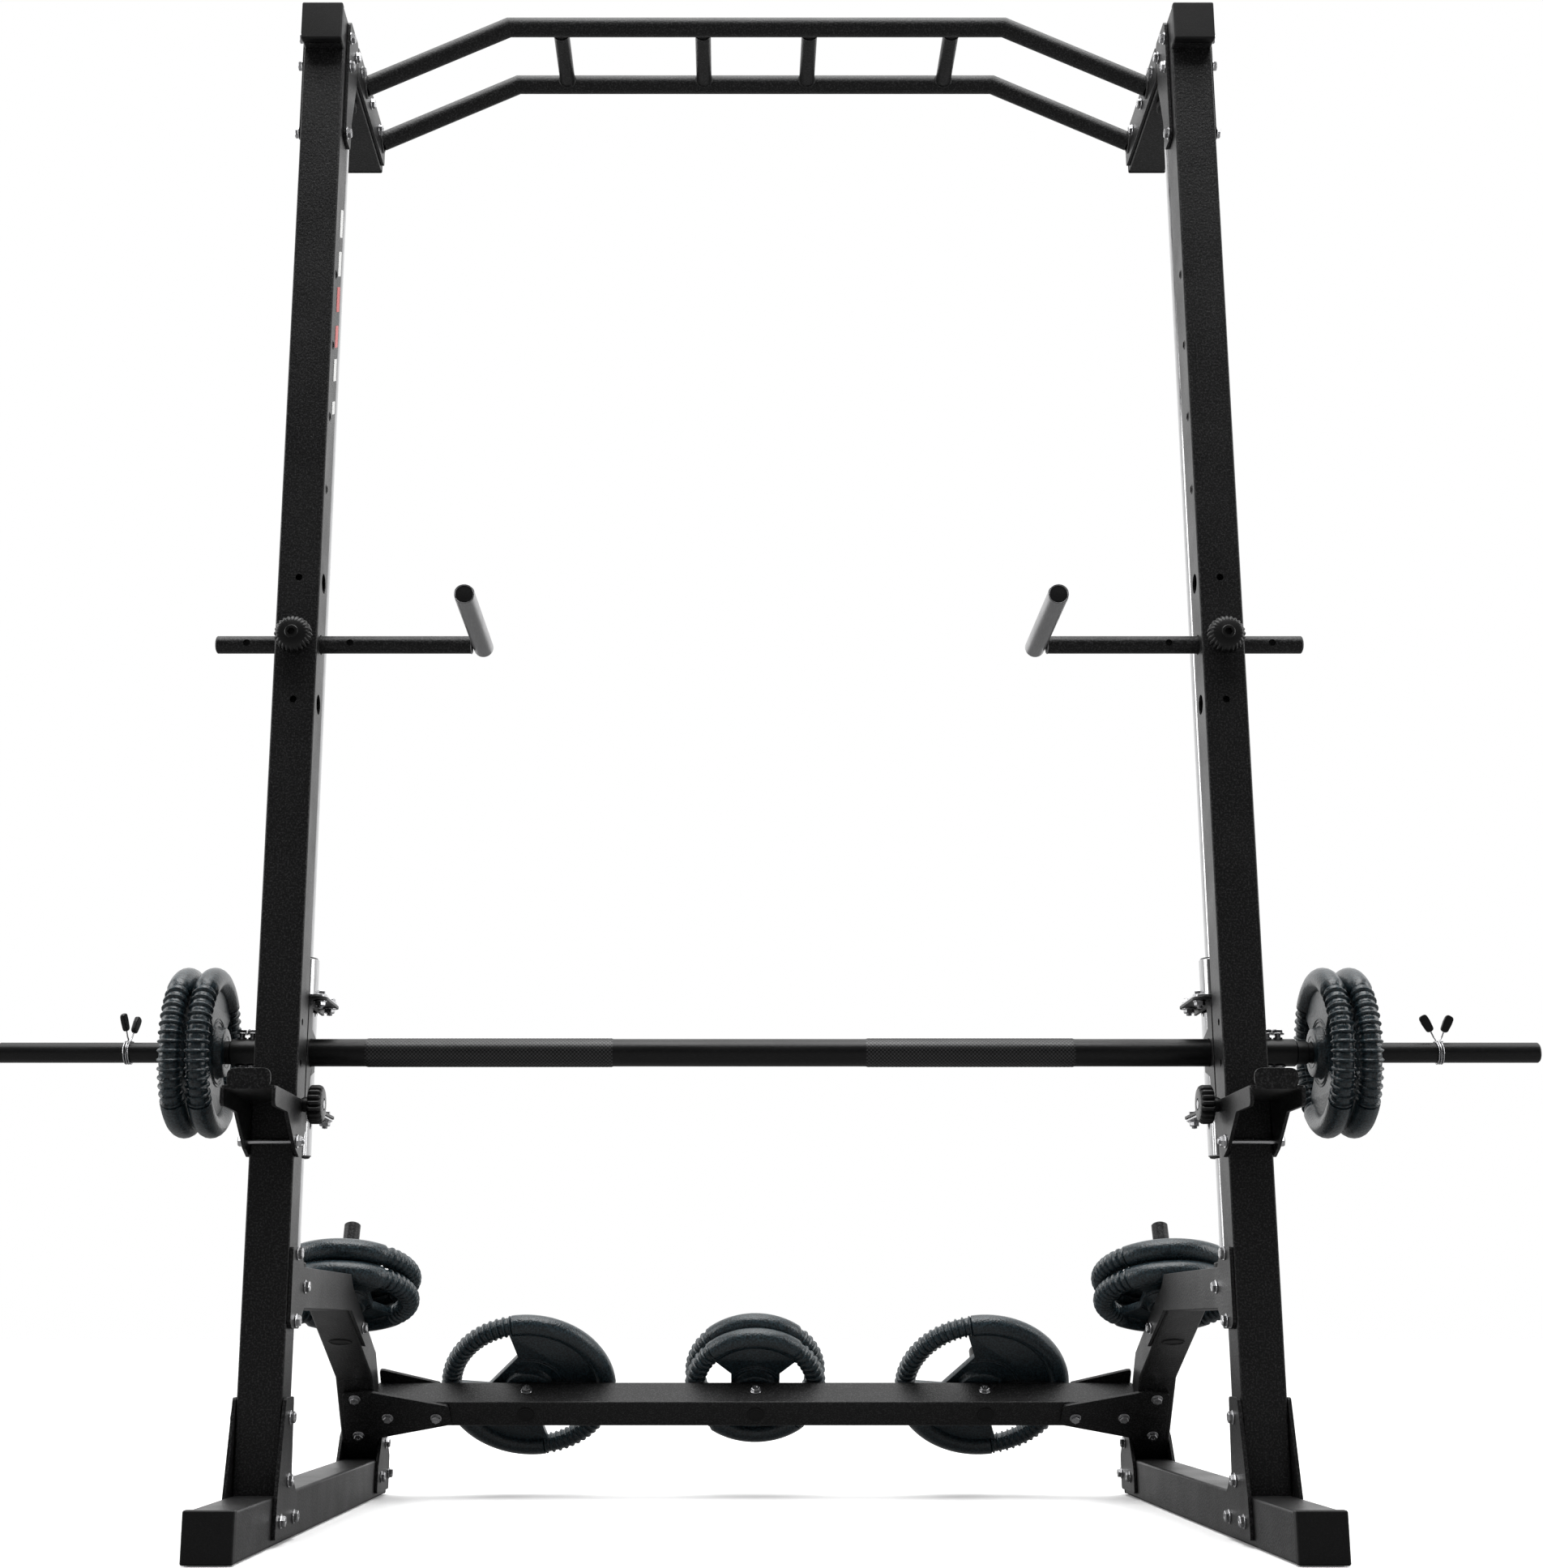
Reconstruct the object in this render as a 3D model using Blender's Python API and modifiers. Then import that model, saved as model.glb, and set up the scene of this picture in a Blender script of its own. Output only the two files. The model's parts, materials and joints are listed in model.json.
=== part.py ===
"""Half rack with a bar guided on two vertical rods, a pull-up frame, dip handles and stored plates.

Metres, +Z up. X runs along the bar and -Y faces the user. All sizes below are given from the datum,
which stands on the floor midway between the two uprights, in their centre plane. The datum itself is
set back from the object's origin, so that the origin is the middle of the whole footprint.
"""
import math

import bmesh
import bpy
from mathutils import Euler, Matrix, Vector

# ---- driving dimensions ----
DATUM_Y = -0.3171            # the uprights' centre plane, seen from the object's origin
GAP = 0.0003                 # clearance between two pieces that touch
SHEET = 0.005                # thickness of every bracket plate
WALL = 0.0025                # wall of the frame tubes

TUBE = 0.060                 # outer side of the uprights, feet and top tubes
SIDE_X = 0.651               # uprights' centre plane, left and right
FACE_X = SIDE_X - TUBE / 2   # their inner faces
FOOT_FRONT = -0.2784
FOOT_REAR = 0.897
FOOT_CAP_DEPTH = 0.015
FOOT_CAP_SIZE = 0.062
UPRIGHT_TOP = 2.137
TOP_FRONT = -0.0447
TOP_REAR = 0.340
TOP_CAP_DEPTH = 0.013
TOP_CAP_SIZE = 0.061

SIDE_HOLE_Z = (1.122, 1.210, 1.301)          # through holes that take the dip handle
SIDE_HOLE_RADIUS = 0.0142
PIN_HOLE_RADIUS = 0.005
HIGH_HOLE_START = 1.440                       # small holes on the inner face, upper row
HIGH_HOLE_PITCH = 0.112
LOW_HOLE_START = 0.5613                       # small holes on the inner face, lower row
LOW_HOLE_PITCH = 0.0556

LEG_DEPTH = 0.050                             # the leg tube is 60 wide and 50 deep
LEG_ARM_Z = 0.320
LEG_PATH = ((0.0303, LEG_ARM_Z), (0.4611, LEG_ARM_Z), (0.7309, 0.2116), (0.9020, 0.0105))
STORE_PEG_RADIUS = 0.013
LEG_PEG_Y = 0.572                             # where the peg's axis leaves the leg's underside
LEG_PEG_LENGTH = 0.198

CROSS_SIZE = 0.050                            # crossmember between the two legs
CROSS_HALF_LENGTH = 0.6205
CROSS_BELOW_KNEE = 0.0517                     # along the leg, from its knee to the crossmember
CROSS_PEG_X = 0.376
CROSS_PEG_LENGTH = 0.156

GUIDE_Y = 0.125
GUIDE_RADIUS = 0.015
SLEEVE_RADIUS = 0.0245
SLEEVE_LOW = 0.502
SLEEVE_HIGH = 0.779
CARRIAGE_Y = (0.036, 0.152)
CARRIAGE_Z = (0.555, 0.715)
CHEEK = 0.004                                 # sheet of the carriage brackets
EAR_REACH = 0.022                             # how far their flanges stand inside the uprights

BAR_Y = 0.065
BAR_Z = 0.640
BAR_SHIFT = 0.0125                            # the bar stands this far to the right in its clamps
BAR_HALF_LENGTH = 1.066
BAR_RADIUS = 0.014
GRIP_RADIUS = 0.019
GRIP_LEFT = -0.7315
GRIP_RIGHT = 0.7410
COLLAR_X = (-0.874, 0.940)
TAB_SIZE = (0.009, 0.010, 0.046)              # the collars' finger tabs, with their wire legs
TAB_LEAN = math.radians(20)
TAB_REACH = 0.013
TAB_RISE = 0.0335

PULL_FRONT_Y = 0.140
PULL_REAR_Y = 0.309
PULL_TOP_Z = 2.279
PULL_END_Z = 2.173
PULL_BEND_X = 0.3932
PULL_RADIUS = 0.015
FLANGE_Y = (0.062, 0.336)                     # the plate at each end of the pull-up frame
FLANGE_Z = (2.143, 2.196)
NEUTRAL_RADIUS = 0.0125
NEUTRAL_X = (-0.311, -0.085, 0.085, 0.311)

DIP_Z = 1.210
DIP_RADIUS = 0.0125
DIP_OUTER_X = 0.768
DIP_GRIP_X = 0.392
DIP_GRIP_RADIUS = 0.014
DIP_GRIP_FRONT = -0.227
DIP_HOLE_PITCH = 0.073

CATCH_TOP = 0.568
CATCH_FRONT = -0.195
LIP_WIDTH = 0.056
LIP_HEIGHT = 0.022
CATCH_PIN = (-0.011, 0.5613)
CATCH_BOLT = (-0.040, 0.510)

PLATE_HUB_LENGTH = 0.036
PLATE_PITCH = 0.0365
SMALL_PLATE = 0.1175                          # outer radii of the two plate sizes
LARGE_PLATE = 0.145

SIDES = (("left", -1), ("right", 1))

# ---- scene ----
for old in list(bpy.data.objects):
    bpy.data.objects.remove(old, do_unlink=True)

parts = bpy.data.collections.new("guided_bar_rack")
cutters = bpy.data.collections.new("cutters")
for collection in (parts, cutters):
    bpy.context.scene.collection.children.link(collection)

datum = bpy.data.objects.new("datum", None)
datum.location = (0, DATUM_Y, 0)
parts.objects.link(datum)


def material(name, colour, roughness, metallic):
    made = bpy.data.materials.new(name)
    made.use_nodes = True
    shader = made.node_tree.nodes["Principled BSDF"]
    shader.inputs["Base Color"].default_value = (*colour, 1)
    shader.inputs["Roughness"].default_value = roughness
    shader.inputs["Metallic"].default_value = metallic
    return made


LOOKS = {
    "powder_coat": ((0.022, 0.022, 0.024), 0.48, 0.0),
    "black_plastic": ((0.012, 0.012, 0.013), 0.42, 0.0),
    "chrome": ((0.78, 0.78, 0.79), 0.14, 1.0),
    "satin_steel": ((0.62, 0.62, 0.63), 0.30, 1.0),
    "black_steel": ((0.015, 0.015, 0.016), 0.38, 0.0),
    "plate_coating": ((0.020, 0.034, 0.042), 0.35, 0.0),
}


# ---- helpers ----
def add(name, mesh, look, origin=(0, 0, 0), turn=(0, 0, 0)):
    """One named part, standing at its origin, with a material of its own."""
    obj = bpy.data.objects.new(name, mesh)
    obj.location = origin
    obj.rotation_euler = turn
    obj.parent = datum
    if look is None:
        obj.hide_render = True
        obj.display_type = "WIRE"
        cutters.objects.link(obj)
    else:
        mesh.materials.append(material(name + "_" + look, *LOOKS[look]))
        parts.objects.link(obj)
    return obj


def mesh_from(build, name):
    shape = bmesh.new()
    build(shape)
    mesh = bpy.data.meshes.new(name)
    shape.to_mesh(mesh)
    shape.free()
    return mesh


def box(name, look, low, high, origin=(0, 0, 0)):
    low = Vector(low) - Vector(origin)
    high = Vector(high) - Vector(origin)
    place = Matrix.Translation((low + high) / 2) @ Matrix.Diagonal((*(high - low), 1))
    mesh = mesh_from(lambda shape: bmesh.ops.create_cube(shape, size=1, matrix=place), name)
    return add(name, mesh, look, origin)


def put_rod(shape, start, end, radius, segments):
    run = end - start
    lean = run.to_track_quat("Z", "Y").to_matrix().to_4x4()
    bmesh.ops.create_cone(shape, cap_ends=True, segments=segments, radius1=radius, radius2=radius,
                          depth=run.length, matrix=Matrix.Translation((start + end) / 2) @ lean)


def round_bar(name, look, start, end, radius, segments=16, origin=(0, 0, 0)):
    start = Vector(start) - Vector(origin)
    end = Vector(end) - Vector(origin)
    mesh = mesh_from(lambda shape: put_rod(shape, start, end, radius, segments), name)
    mesh.shade_smooth()
    mesh.set_sharp_from_angle(angle=math.radians(35))
    return add(name, mesh, look, origin)


def curve_to_part(name, look, curve, place):
    """Turns a curve into a welded mesh object and removes the curve."""
    holder = bpy.data.objects.new(name + "_curve", curve)
    bpy.context.scene.collection.objects.link(holder)
    holder.matrix_world = place
    graph = bpy.context.evaluated_depsgraph_get()
    mesh = bpy.data.meshes.new_from_object(holder.evaluated_get(graph))
    shape = bmesh.new()
    shape.from_mesh(mesh)
    bmesh.ops.remove_doubles(shape, verts=shape.verts, dist=0.00002)
    bmesh.ops.recalc_face_normals(shape, faces=shape.faces)
    shape.to_mesh(mesh)
    shape.free()
    bpy.data.objects.remove(holder, do_unlink=True)
    mesh.materials.clear()
    made = add(name, mesh, look)
    made.matrix_local = place
    return made


def flat_plate(name, look, outline, thickness, place):
    """A flat outline, extruded to both sides of its own plane."""
    curve = bpy.data.curves.new(name, "CURVE")
    curve.dimensions = "2D"
    curve.fill_mode = "BOTH"
    curve.extrude = thickness / 2
    spline = curve.splines.new("POLY")
    spline.points.add(len(outline) - 1)
    for point, (across, up) in zip(spline.points, outline):
        point.co = (across, up, 0, 1)
    spline.use_cyclic_u = True
    return curve_to_part(name, look, curve, place)


def bent_rod(name, look, route, radius):
    curve = bpy.data.curves.new(name, "CURVE")
    curve.dimensions = "3D"
    curve.bevel_depth = radius
    curve.bevel_resolution = 4
    curve.use_fill_caps = True
    spline = curve.splines.new("POLY")
    spline.points.add(len(route) - 1)
    for point, place in zip(spline.points, route):
        point.co = (*place, 1)
    return curve_to_part(name, look, curve, Matrix.Identity(4))


def turned(name, look, profile, origin, turn, segments=24):
    """A (radius, height) profile, drawn down its outer side, turned about its own Z axis."""
    mesh = bpy.data.meshes.new(name)
    mesh.from_pydata([(radius, 0, height) for radius, height in profile],
                     [(i, i + 1) for i in range(len(profile) - 1)], [])
    obj = add(name, mesh, look, origin, turn)
    screw = obj.modifiers.new("turn", "SCREW")
    screw.steps = segments
    screw.render_steps = segments
    screw.use_merge_vertices = True
    screw.merge_threshold = 0.00005
    return obj


def boolean(target, tool, operation):
    step = target.modifiers.new(operation.lower(), "BOOLEAN")
    step.operation = operation
    step.solver = "EXACT"
    step.object = tool


def cut(target, tool):
    boolean(target, tool, "DIFFERENCE")


def join(target, tool):
    boolean(target, tool, "UNION")


def drill(target, holes):
    """Cuts round holes that don't touch each other, each given as (start, end, radius, segments)."""
    def build(shape):
        for start, end, radius, segments in holes:
            put_rod(shape, Vector(start), Vector(end), radius, segments)

    name = target.name + "_holes"
    cut(target, add(name, mesh_from(build, name), None))


def side_frame(centre_x):
    """Places a flat outline of (Y, Z) points in the plane of constant X."""
    return Matrix(((0, 0, 1, centre_x), (1, 0, 0, 0), (0, 1, 0, 0), (0, 0, 0, 1)))


def square_tube(name, look, low, high, along):
    """A square tube, open at both ends of the axis it runs along."""
    tube = box(name, look, low, high)
    inner_low = [value + WALL for value in low]
    inner_high = [value - WALL for value in high]
    inner_low[along] = low[along] - WALL
    inner_high[along] = high[along] + WALL
    cut(tube, box(name + "_hollow", None, inner_low, inner_high))
    return tube


def ribbon(path, half_width):
    """The outline of a band of constant width along a bent centre line of (Y, Z) points."""
    points = [Vector(point) for point in path]
    steps = [(b - a).normalized() for a, b in zip(points, points[1:])]
    normals = [Vector((-step.y, step.x)) for step in steps]
    upper = []
    lower = []
    for i, point in enumerate(points):
        before = normals[max(i - 1, 0)]
        after = normals[min(i, len(normals) - 1)]
        middle = (before + after).normalized()
        reach = half_width / middle.dot(after)
        upper.append(point + middle * reach)
        lower.append(point - middle * reach)
    return [tuple(point) for point in upper + lower[::-1]]


def on_side(side, inner_offset, thickness=SHEET):
    """Centre of a plate that stands a small gap outside the tubes' inner face, towards the middle."""
    return side * (FACE_X - GAP - inner_offset - thickness / 2)


# ---- directions of the legs and the crossmember ----
slant_start, knee, leg_end = (Vector(point) for point in LEG_PATH[1:])
slant = (knee - slant_start).normalized()
slant_up = Vector((-slant.y, slant.x))
lower_leg = (leg_end - knee).normalized()
lower_up = Vector((-lower_leg.y, lower_leg.x))
half_bend = (slant_up + lower_up).normalized()
knee_under = knee - half_bend * (LEG_DEPTH / 2) / half_bend.dot(lower_up)
cross_corner = knee_under + lower_leg * CROSS_BELOW_KNEE
cross_centre = cross_corner + (lower_leg + lower_up) * CROSS_SIZE / 2
cross_turn = math.atan2(lower_up.y, lower_up.x)
peg_foot = slant_start + slant * ((LEG_PEG_Y - slant_start.x) / slant.x) - slant_up * LEG_DEPTH / 2
peg_foot += slant * (LEG_PEG_Y - peg_foot.x) / slant.x


def yz(x, point):
    return Vector((x, point.x, point.y))


# ---- frame ----
def foot(side_name, side):
    centre = side * SIDE_X
    low = (centre - TUBE / 2, FOOT_FRONT, 0)
    high = (centre + TUBE / 2, FOOT_REAR, TUBE)
    square_tube("foot_" + side_name, "powder_coat", low, high, 1)
    half = FOOT_CAP_SIZE / 2
    cap_back = FOOT_FRONT - GAP
    box("foot_cap_" + side_name, "black_plastic", (centre - half, cap_back - FOOT_CAP_DEPTH, 0),
        (centre + half, cap_back, FOOT_CAP_SIZE))


def upright(side_name, side):
    centre = side * SIDE_X
    low = (centre - TUBE / 2, -TUBE / 2, TUBE + GAP)
    high = (centre + TUBE / 2, TUBE / 2, UPRIGHT_TOP - GAP)
    tube = square_tube("upright_" + side_name, "powder_coat", low, high, 2)
    holes = []
    for height in SIDE_HOLE_Z:
        holes.append(((centre - TUBE, 0, height), (centre + TUBE, 0, height), SIDE_HOLE_RADIUS, 16))
        holes.append(((centre, -TUBE, height), (centre, 2 * WALL - TUBE / 2, height), PIN_HOLE_RADIUS, 8))
    rows = [HIGH_HOLE_START + HIGH_HOLE_PITCH * i for i in range(4)]
    rows += [LOW_HOLE_START + LOW_HOLE_PITCH * i for i in range(3)]
    for height in rows:
        inside = (side * (FACE_X - WALL), CATCH_PIN[0], height)
        holes.append((inside, (side * (FACE_X + 2 * WALL), CATCH_PIN[0], height), PIN_HOLE_RADIUS, 8))
    drill(tube, holes)


def top_tube(side_name, side):
    centre = side * SIDE_X
    low = (centre - TUBE / 2, TOP_FRONT, UPRIGHT_TOP)
    high = (centre + TUBE / 2, TOP_REAR, UPRIGHT_TOP + TUBE)
    square_tube("top_tube_" + side_name, "powder_coat", low, high, 1)
    half = TOP_CAP_SIZE / 2
    middle = UPRIGHT_TOP + TUBE / 2
    cap_back = TOP_FRONT - GAP
    box("top_cap_" + side_name, "black_plastic", (centre - half, cap_back - TOP_CAP_DEPTH, middle - half),
        (centre + half, cap_back, middle + half))


def top_gusset(side_name, side):
    outline = ((-0.012, 2.189), (-0.012, 2.006), (-0.004, 1.999), (0.028, 1.999), (0.030, 2.045),
               (0.058, 2.124), (0.058, 2.190), (0.052, 2.196), (-0.005, 2.196))
    flat_plate("top_gusset_" + side_name, "powder_coat", outline, SHEET, side_frame(on_side(side, 0)))


def leg(side_name, side):
    centre = side * SIDE_X
    name = "leg_" + side_name
    tube = flat_plate(name, "powder_coat", ribbon(LEG_PATH, LEG_DEPTH / 2), TUBE, side_frame(centre))
    hollow_path = [(LEG_PATH[0][0] - WALL, LEG_PATH[0][1]), *LEG_PATH[1:-1],
                   tuple(leg_end + lower_leg * WALL)]
    cut(tube, flat_plate(name + "_hollow", None, ribbon(hollow_path, LEG_DEPTH / 2 - WALL),
                         TUBE - 2 * WALL, side_frame(centre)))
    cut(tube, box(name + "_floor_cut", None, (centre - TUBE, 0.7, -0.1), (centre + TUBE, 1.0, TUBE + GAP)))
    peg_tip = peg_foot + slant_up * LEG_PEG_LENGTH
    join(tube, round_bar(name + "_peg", None, yz(centre, peg_foot), yz(centre, peg_tip), STORE_PEG_RADIUS))


def leg_bracket(side_name, side):
    outline = ((-0.028, 0.3736), (0.030, 0.3736), (0.054, 0.349), (0.440, 0.349), (0.462, 0.331),
               (0.600, 0.272), (0.612, 0.262), (0.606, 0.240), (0.4555, 0.2955), (0.064, 0.2955),
               (0.031, 0.2686), (-0.016, 0.2686), (-0.028, 0.276))
    flat_plate("leg_bracket_" + side_name, "powder_coat", outline, SHEET, side_frame(on_side(side, 0)))


def foot_gusset(side_name, side):
    outline = ((-0.028, 0.182), (0.022, 0.182), (0.029, 0.086), (0.078, 0.050), (0.078, 0.008),
               (-0.066, 0.008), (-0.062, 0.060))
    flat_plate("foot_gusset_" + side_name, "powder_coat", outline, SHEET, side_frame(on_side(side, 0)))


def rear_bracket(side_name, side):
    outline = ((0.775, 0.008), (0.900, 0.008), (0.900, 0.062), (0.846, 0.118), (0.812, 0.098),
               (0.778, 0.048))
    flat_plate("rear_bracket_" + side_name, "powder_coat", outline, SHEET, side_frame(on_side(side, 0)))


def guide_rod(side_name, side):
    centre = side * SIDE_X
    round_bar("guide_rod_" + side_name, "chrome", (centre, GUIDE_Y, LEG_ARM_Z + LEG_DEPTH / 2 + GAP),
              (centre, GUIDE_Y, UPRIGHT_TOP - GAP), GUIDE_RADIUS, 16)


def crossmember():
    """A square tube between the legs, turned so that its front face continues the lower legs'."""
    half = CROSS_SIZE / 2
    tilt = (cross_turn, 0, 0)
    centre = yz(0, cross_centre)

    def slab(name, look, size, length):
        place = Matrix.Diagonal((2 * length, size, size, 1))
        mesh = mesh_from(lambda shape: bmesh.ops.create_cube(shape, size=1, matrix=place), name)
        return add(name, mesh, look, centre, tilt)

    tube = slab("crossmember", "powder_coat", CROSS_SIZE, CROSS_HALF_LENGTH)
    cut(tube, slab("crossmember_hollow", None, CROSS_SIZE - 2 * WALL, CROSS_HALF_LENGTH + WALL))
    start = cross_centre - lower_up * (half + GAP)
    end = start + lower_up * CROSS_PEG_LENGTH
    before = start - lower_up * half
    pegs = (("left", -CROSS_PEG_X), ("centre", 0), ("right", CROSS_PEG_X))
    drill(tube, [(yz(x, before), yz(x, end), STORE_PEG_RADIUS + GAP, 16) for name, x in pegs])
    for name, x in pegs:
        round_bar("cross_peg_" + name, "powder_coat", yz(x, start), yz(x, end), STORE_PEG_RADIUS)


def cross_gusset(side_name, side):
    """Lies on the front faces of the crossmember and the lower leg. Points are (X, distance down)."""
    outline = ((0.672, -0.022), (0.634, -0.028), (0.501, 0.003), (0.497, 0.042), (0.618, 0.071),
               (0.672, 0.078))
    offset = cross_corner - lower_up * (GAP + SHEET / 2)
    place = Matrix(((side, 0, 0, 0), (0, lower_leg.x, lower_up.x, offset.x),
                    (0, lower_leg.y, lower_up.y, offset.y), (0, 0, 0, 1)))
    points = [(x, down) for x, down in outline]
    if side < 0:
        place = Matrix(((1, 0, 0, 0), *[tuple(row) for row in place][1:]))
        points = [(-x, down) for x, down in reversed(points)]
    flat_plate("cross_gusset_" + side_name, "powder_coat", points, SHEET, place)


def pull_up_frame():
    """Two bent bars and four neutral grips, welded to a flange plate at each end."""
    end_x = FACE_X - GAP - SHEET / 2
    name = "pull_up_frame"

    def bent_bar(bar_name, look, y):
        route = ((-end_x, y, PULL_END_Z), (-PULL_BEND_X, y, PULL_TOP_Z), (PULL_BEND_X, y, PULL_TOP_Z),
                 (end_x, y, PULL_END_Z))
        return bent_rod(bar_name, look, route, PULL_RADIUS)

    whole = bent_bar(name, "powder_coat", PULL_FRONT_Y)
    join(whole, bent_bar(name + "_rear", None, PULL_REAR_Y))
    for number, x in enumerate(NEUTRAL_X):
        join(whole, round_bar(f"{name}_grip_{number}", None, (x, PULL_FRONT_Y, PULL_TOP_Z),
                              (x, PULL_REAR_Y, PULL_TOP_Z), NEUTRAL_RADIUS, 12))
    for side_name, side in SIDES:
        low_x, high_x = sorted((side * (end_x - SHEET / 2), side * (end_x + SHEET / 2)))
        low = (low_x, FLANGE_Y[0], FLANGE_Z[0])
        high = (high_x, FLANGE_Y[1], FLANGE_Z[1])
        join(whole, box(f"{name}_flange_{side_name}", None, low, high))
        beyond = sorted((side * (FACE_X - GAP), side * (FACE_X + TUBE)))
        low = (beyond[0], FLANGE_Y[0] - PULL_RADIUS, FLANGE_Z[0] - 3 * PULL_RADIUS)
        high = (beyond[1], FLANGE_Y[1] + PULL_RADIUS, FLANGE_Z[1] + 3 * PULL_RADIUS)
        cut(whole, box(f"{name}_flush_{side_name}", None, low, high))


# ---- guided bar ----
def sleeve(side_name, side):
    centre = side * SIDE_X
    origin = (centre, GUIDE_Y, BAR_Z)
    name = "slider_sleeve_" + side_name
    tube = round_bar(name, "chrome", (centre, GUIDE_Y, SLEEVE_LOW), (centre, GUIDE_Y, SLEEVE_HIGH),
                     SLEEVE_RADIUS, 16, origin)
    cut(tube, round_bar(name + "_bore", None, (centre, GUIDE_Y, SLEEVE_LOW - WALL),
                        (centre, GUIDE_Y, SLEEVE_HIGH + WALL), GUIDE_RADIUS + 0.0006, 16))


def carriage_bracket(side_name, side):
    """Two side plates that hold the bar and two flanges that clamp the sleeve."""
    centre = side * SIDE_X
    name = "carriage_bracket_" + side_name
    front, back = CARRIAGE_Y
    low, high = CARRIAGE_Z
    near = side * (FACE_X + 0.0005)
    far = side * (FACE_X + TUBE - 0.0005)
    inner = sorted((near, near + side * CHEEK))
    outer = sorted((far, far - side * CHEEK))
    ear = sorted((side * (FACE_X - EAR_REACH), far))
    origin = (centre, BAR_Y, BAR_Z)
    bracket = box(name, "powder_coat", (inner[0], front, low), (inner[1], back, high), origin)
    join(bracket, box(name + "_outer", None, (outer[0], front, low), (outer[1], back, high)))
    for level, bottom in (("low", low), ("high", high - CHEEK)):
        flange_low = (ear[0], front, bottom)
        flange_high = (ear[1], back, bottom + CHEEK)
        join(bracket, box(f"{name}_{level}_flange", None, flange_low, flange_high))
    cut(bracket, round_bar(name + "_bar_bore", None, (centre - TUBE, BAR_Y, BAR_Z),
                           (centre + TUBE, BAR_Y, BAR_Z), GRIP_RADIUS + 2 * GAP, 24))
    cut(bracket, round_bar(name + "_sleeve_bore", None, (centre, GUIDE_Y, SLEEVE_LOW),
                           (centre, GUIDE_Y, SLEEVE_HIGH), SLEEVE_RADIUS + GAP))


def bar():
    origin = (0, BAR_Y, BAR_Z)
    round_bar("bar_rod", "black_steel", (BAR_SHIFT - BAR_HALF_LENGTH, BAR_Y, BAR_Z),
              (BAR_SHIFT + BAR_HALF_LENGTH, BAR_Y, BAR_Z), BAR_RADIUS, 24, origin)
    tube = round_bar("bar_grip_tube", "black_steel", (GRIP_LEFT, BAR_Y, BAR_Z), (GRIP_RIGHT, BAR_Y, BAR_Z),
                     GRIP_RADIUS, 24, origin)
    cut(tube, round_bar("bar_grip_tube_bore", None, (GRIP_LEFT - WALL, BAR_Y, BAR_Z),
                        (GRIP_RIGHT + WALL, BAR_Y, BAR_Z), BAR_RADIUS + GAP, 24))


def spring_collar(side_name, x):
    """A short coil round the bar with two finger tabs standing up from it."""
    name = "spring_collar_" + side_name
    origin = (x, BAR_Y, BAR_Z)
    half = 0.005
    coil = round_bar(name, "chrome", (x - half, BAR_Y, BAR_Z), (x + half, BAR_Y, BAR_Z),
                     BAR_RADIUS + 0.0035, 16, origin)
    for number, lean in enumerate((-1, 1)):
        tilt = Euler((0, lean * TAB_LEAN, 0)).to_matrix().to_4x4()
        stand = Matrix.Translation((x + lean * TAB_REACH, BAR_Y, BAR_Z + TAB_RISE))
        place = stand @ tilt @ Matrix.Diagonal((*TAB_SIZE, 1))
        mesh = mesh_from(lambda shape, place=place: bmesh.ops.create_cube(shape, size=1, matrix=place), name)
        join(coil, add(f"{name}_tab_{number}", mesh, None))
    cut(coil, round_bar(name + "_bore", None, (x - TUBE, BAR_Y, BAR_Z), (x + TUBE, BAR_Y, BAR_Z),
                        BAR_RADIUS + GAP))


# ---- weight plates ----
def weight_plate(name, centre, axis, opening_direction, radius):
    """Hub, flat web with two hand openings, and a thick round rim."""
    rim = 0.017
    inner = radius - 2 * rim
    web = 0.006
    hub = 0.034 if radius < 0.13 else 0.040
    bore = STORE_PEG_RADIUS + 0.0018
    half = PLATE_HUB_LENGTH / 2
    ring = radius - rim
    upper = [(bore, half), (hub, half), (hub, web), (inner + 0.002, web + 0.002), (ring, rim),
             (radius, rim * 0.45)]
    profile = upper + [(across, -height) for across, height in reversed(upper)] + [upper[0]]
    z_axis = Vector(axis).normalized()
    x_axis = Vector(opening_direction).normalized()
    y_axis = z_axis.cross(x_axis)
    turn = Matrix((x_axis, y_axis, z_axis)).transposed()
    plate = turned(name, "plate_coating", profile, centre, turn.to_euler(), 16)
    chord = inner * 0.48
    span = math.radians(40)
    reach = inner + 0.0045
    for number, way in enumerate((1, -1)):
        arc = [(way * reach * math.cos(angle), way * reach * math.sin(angle))
               for angle in (span * (step / 2 - 1) for step in range(5))]
        outline = [(way * chord, -way * chord * 0.75), *arc, (way * chord, way * chord * 0.75)]
        place = Matrix.Translation(centre) @ turn.to_4x4()
        cut(plate, flat_plate(f"{name}_opening_{number}", None, outline, 2.6 * web, place))


def bar_plates():
    for side_name, side in SIDES:
        for number, label in enumerate(("inner", "outer")):
            x = BAR_SHIFT + side * (0.769 + number * PLATE_PITCH)
            weight_plate(f"bar_plate_{side_name}_{label}", (x, BAR_Y, BAR_Z), (1, 0, 0), (0, 1, 0),
                         SMALL_PLATE)


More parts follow.
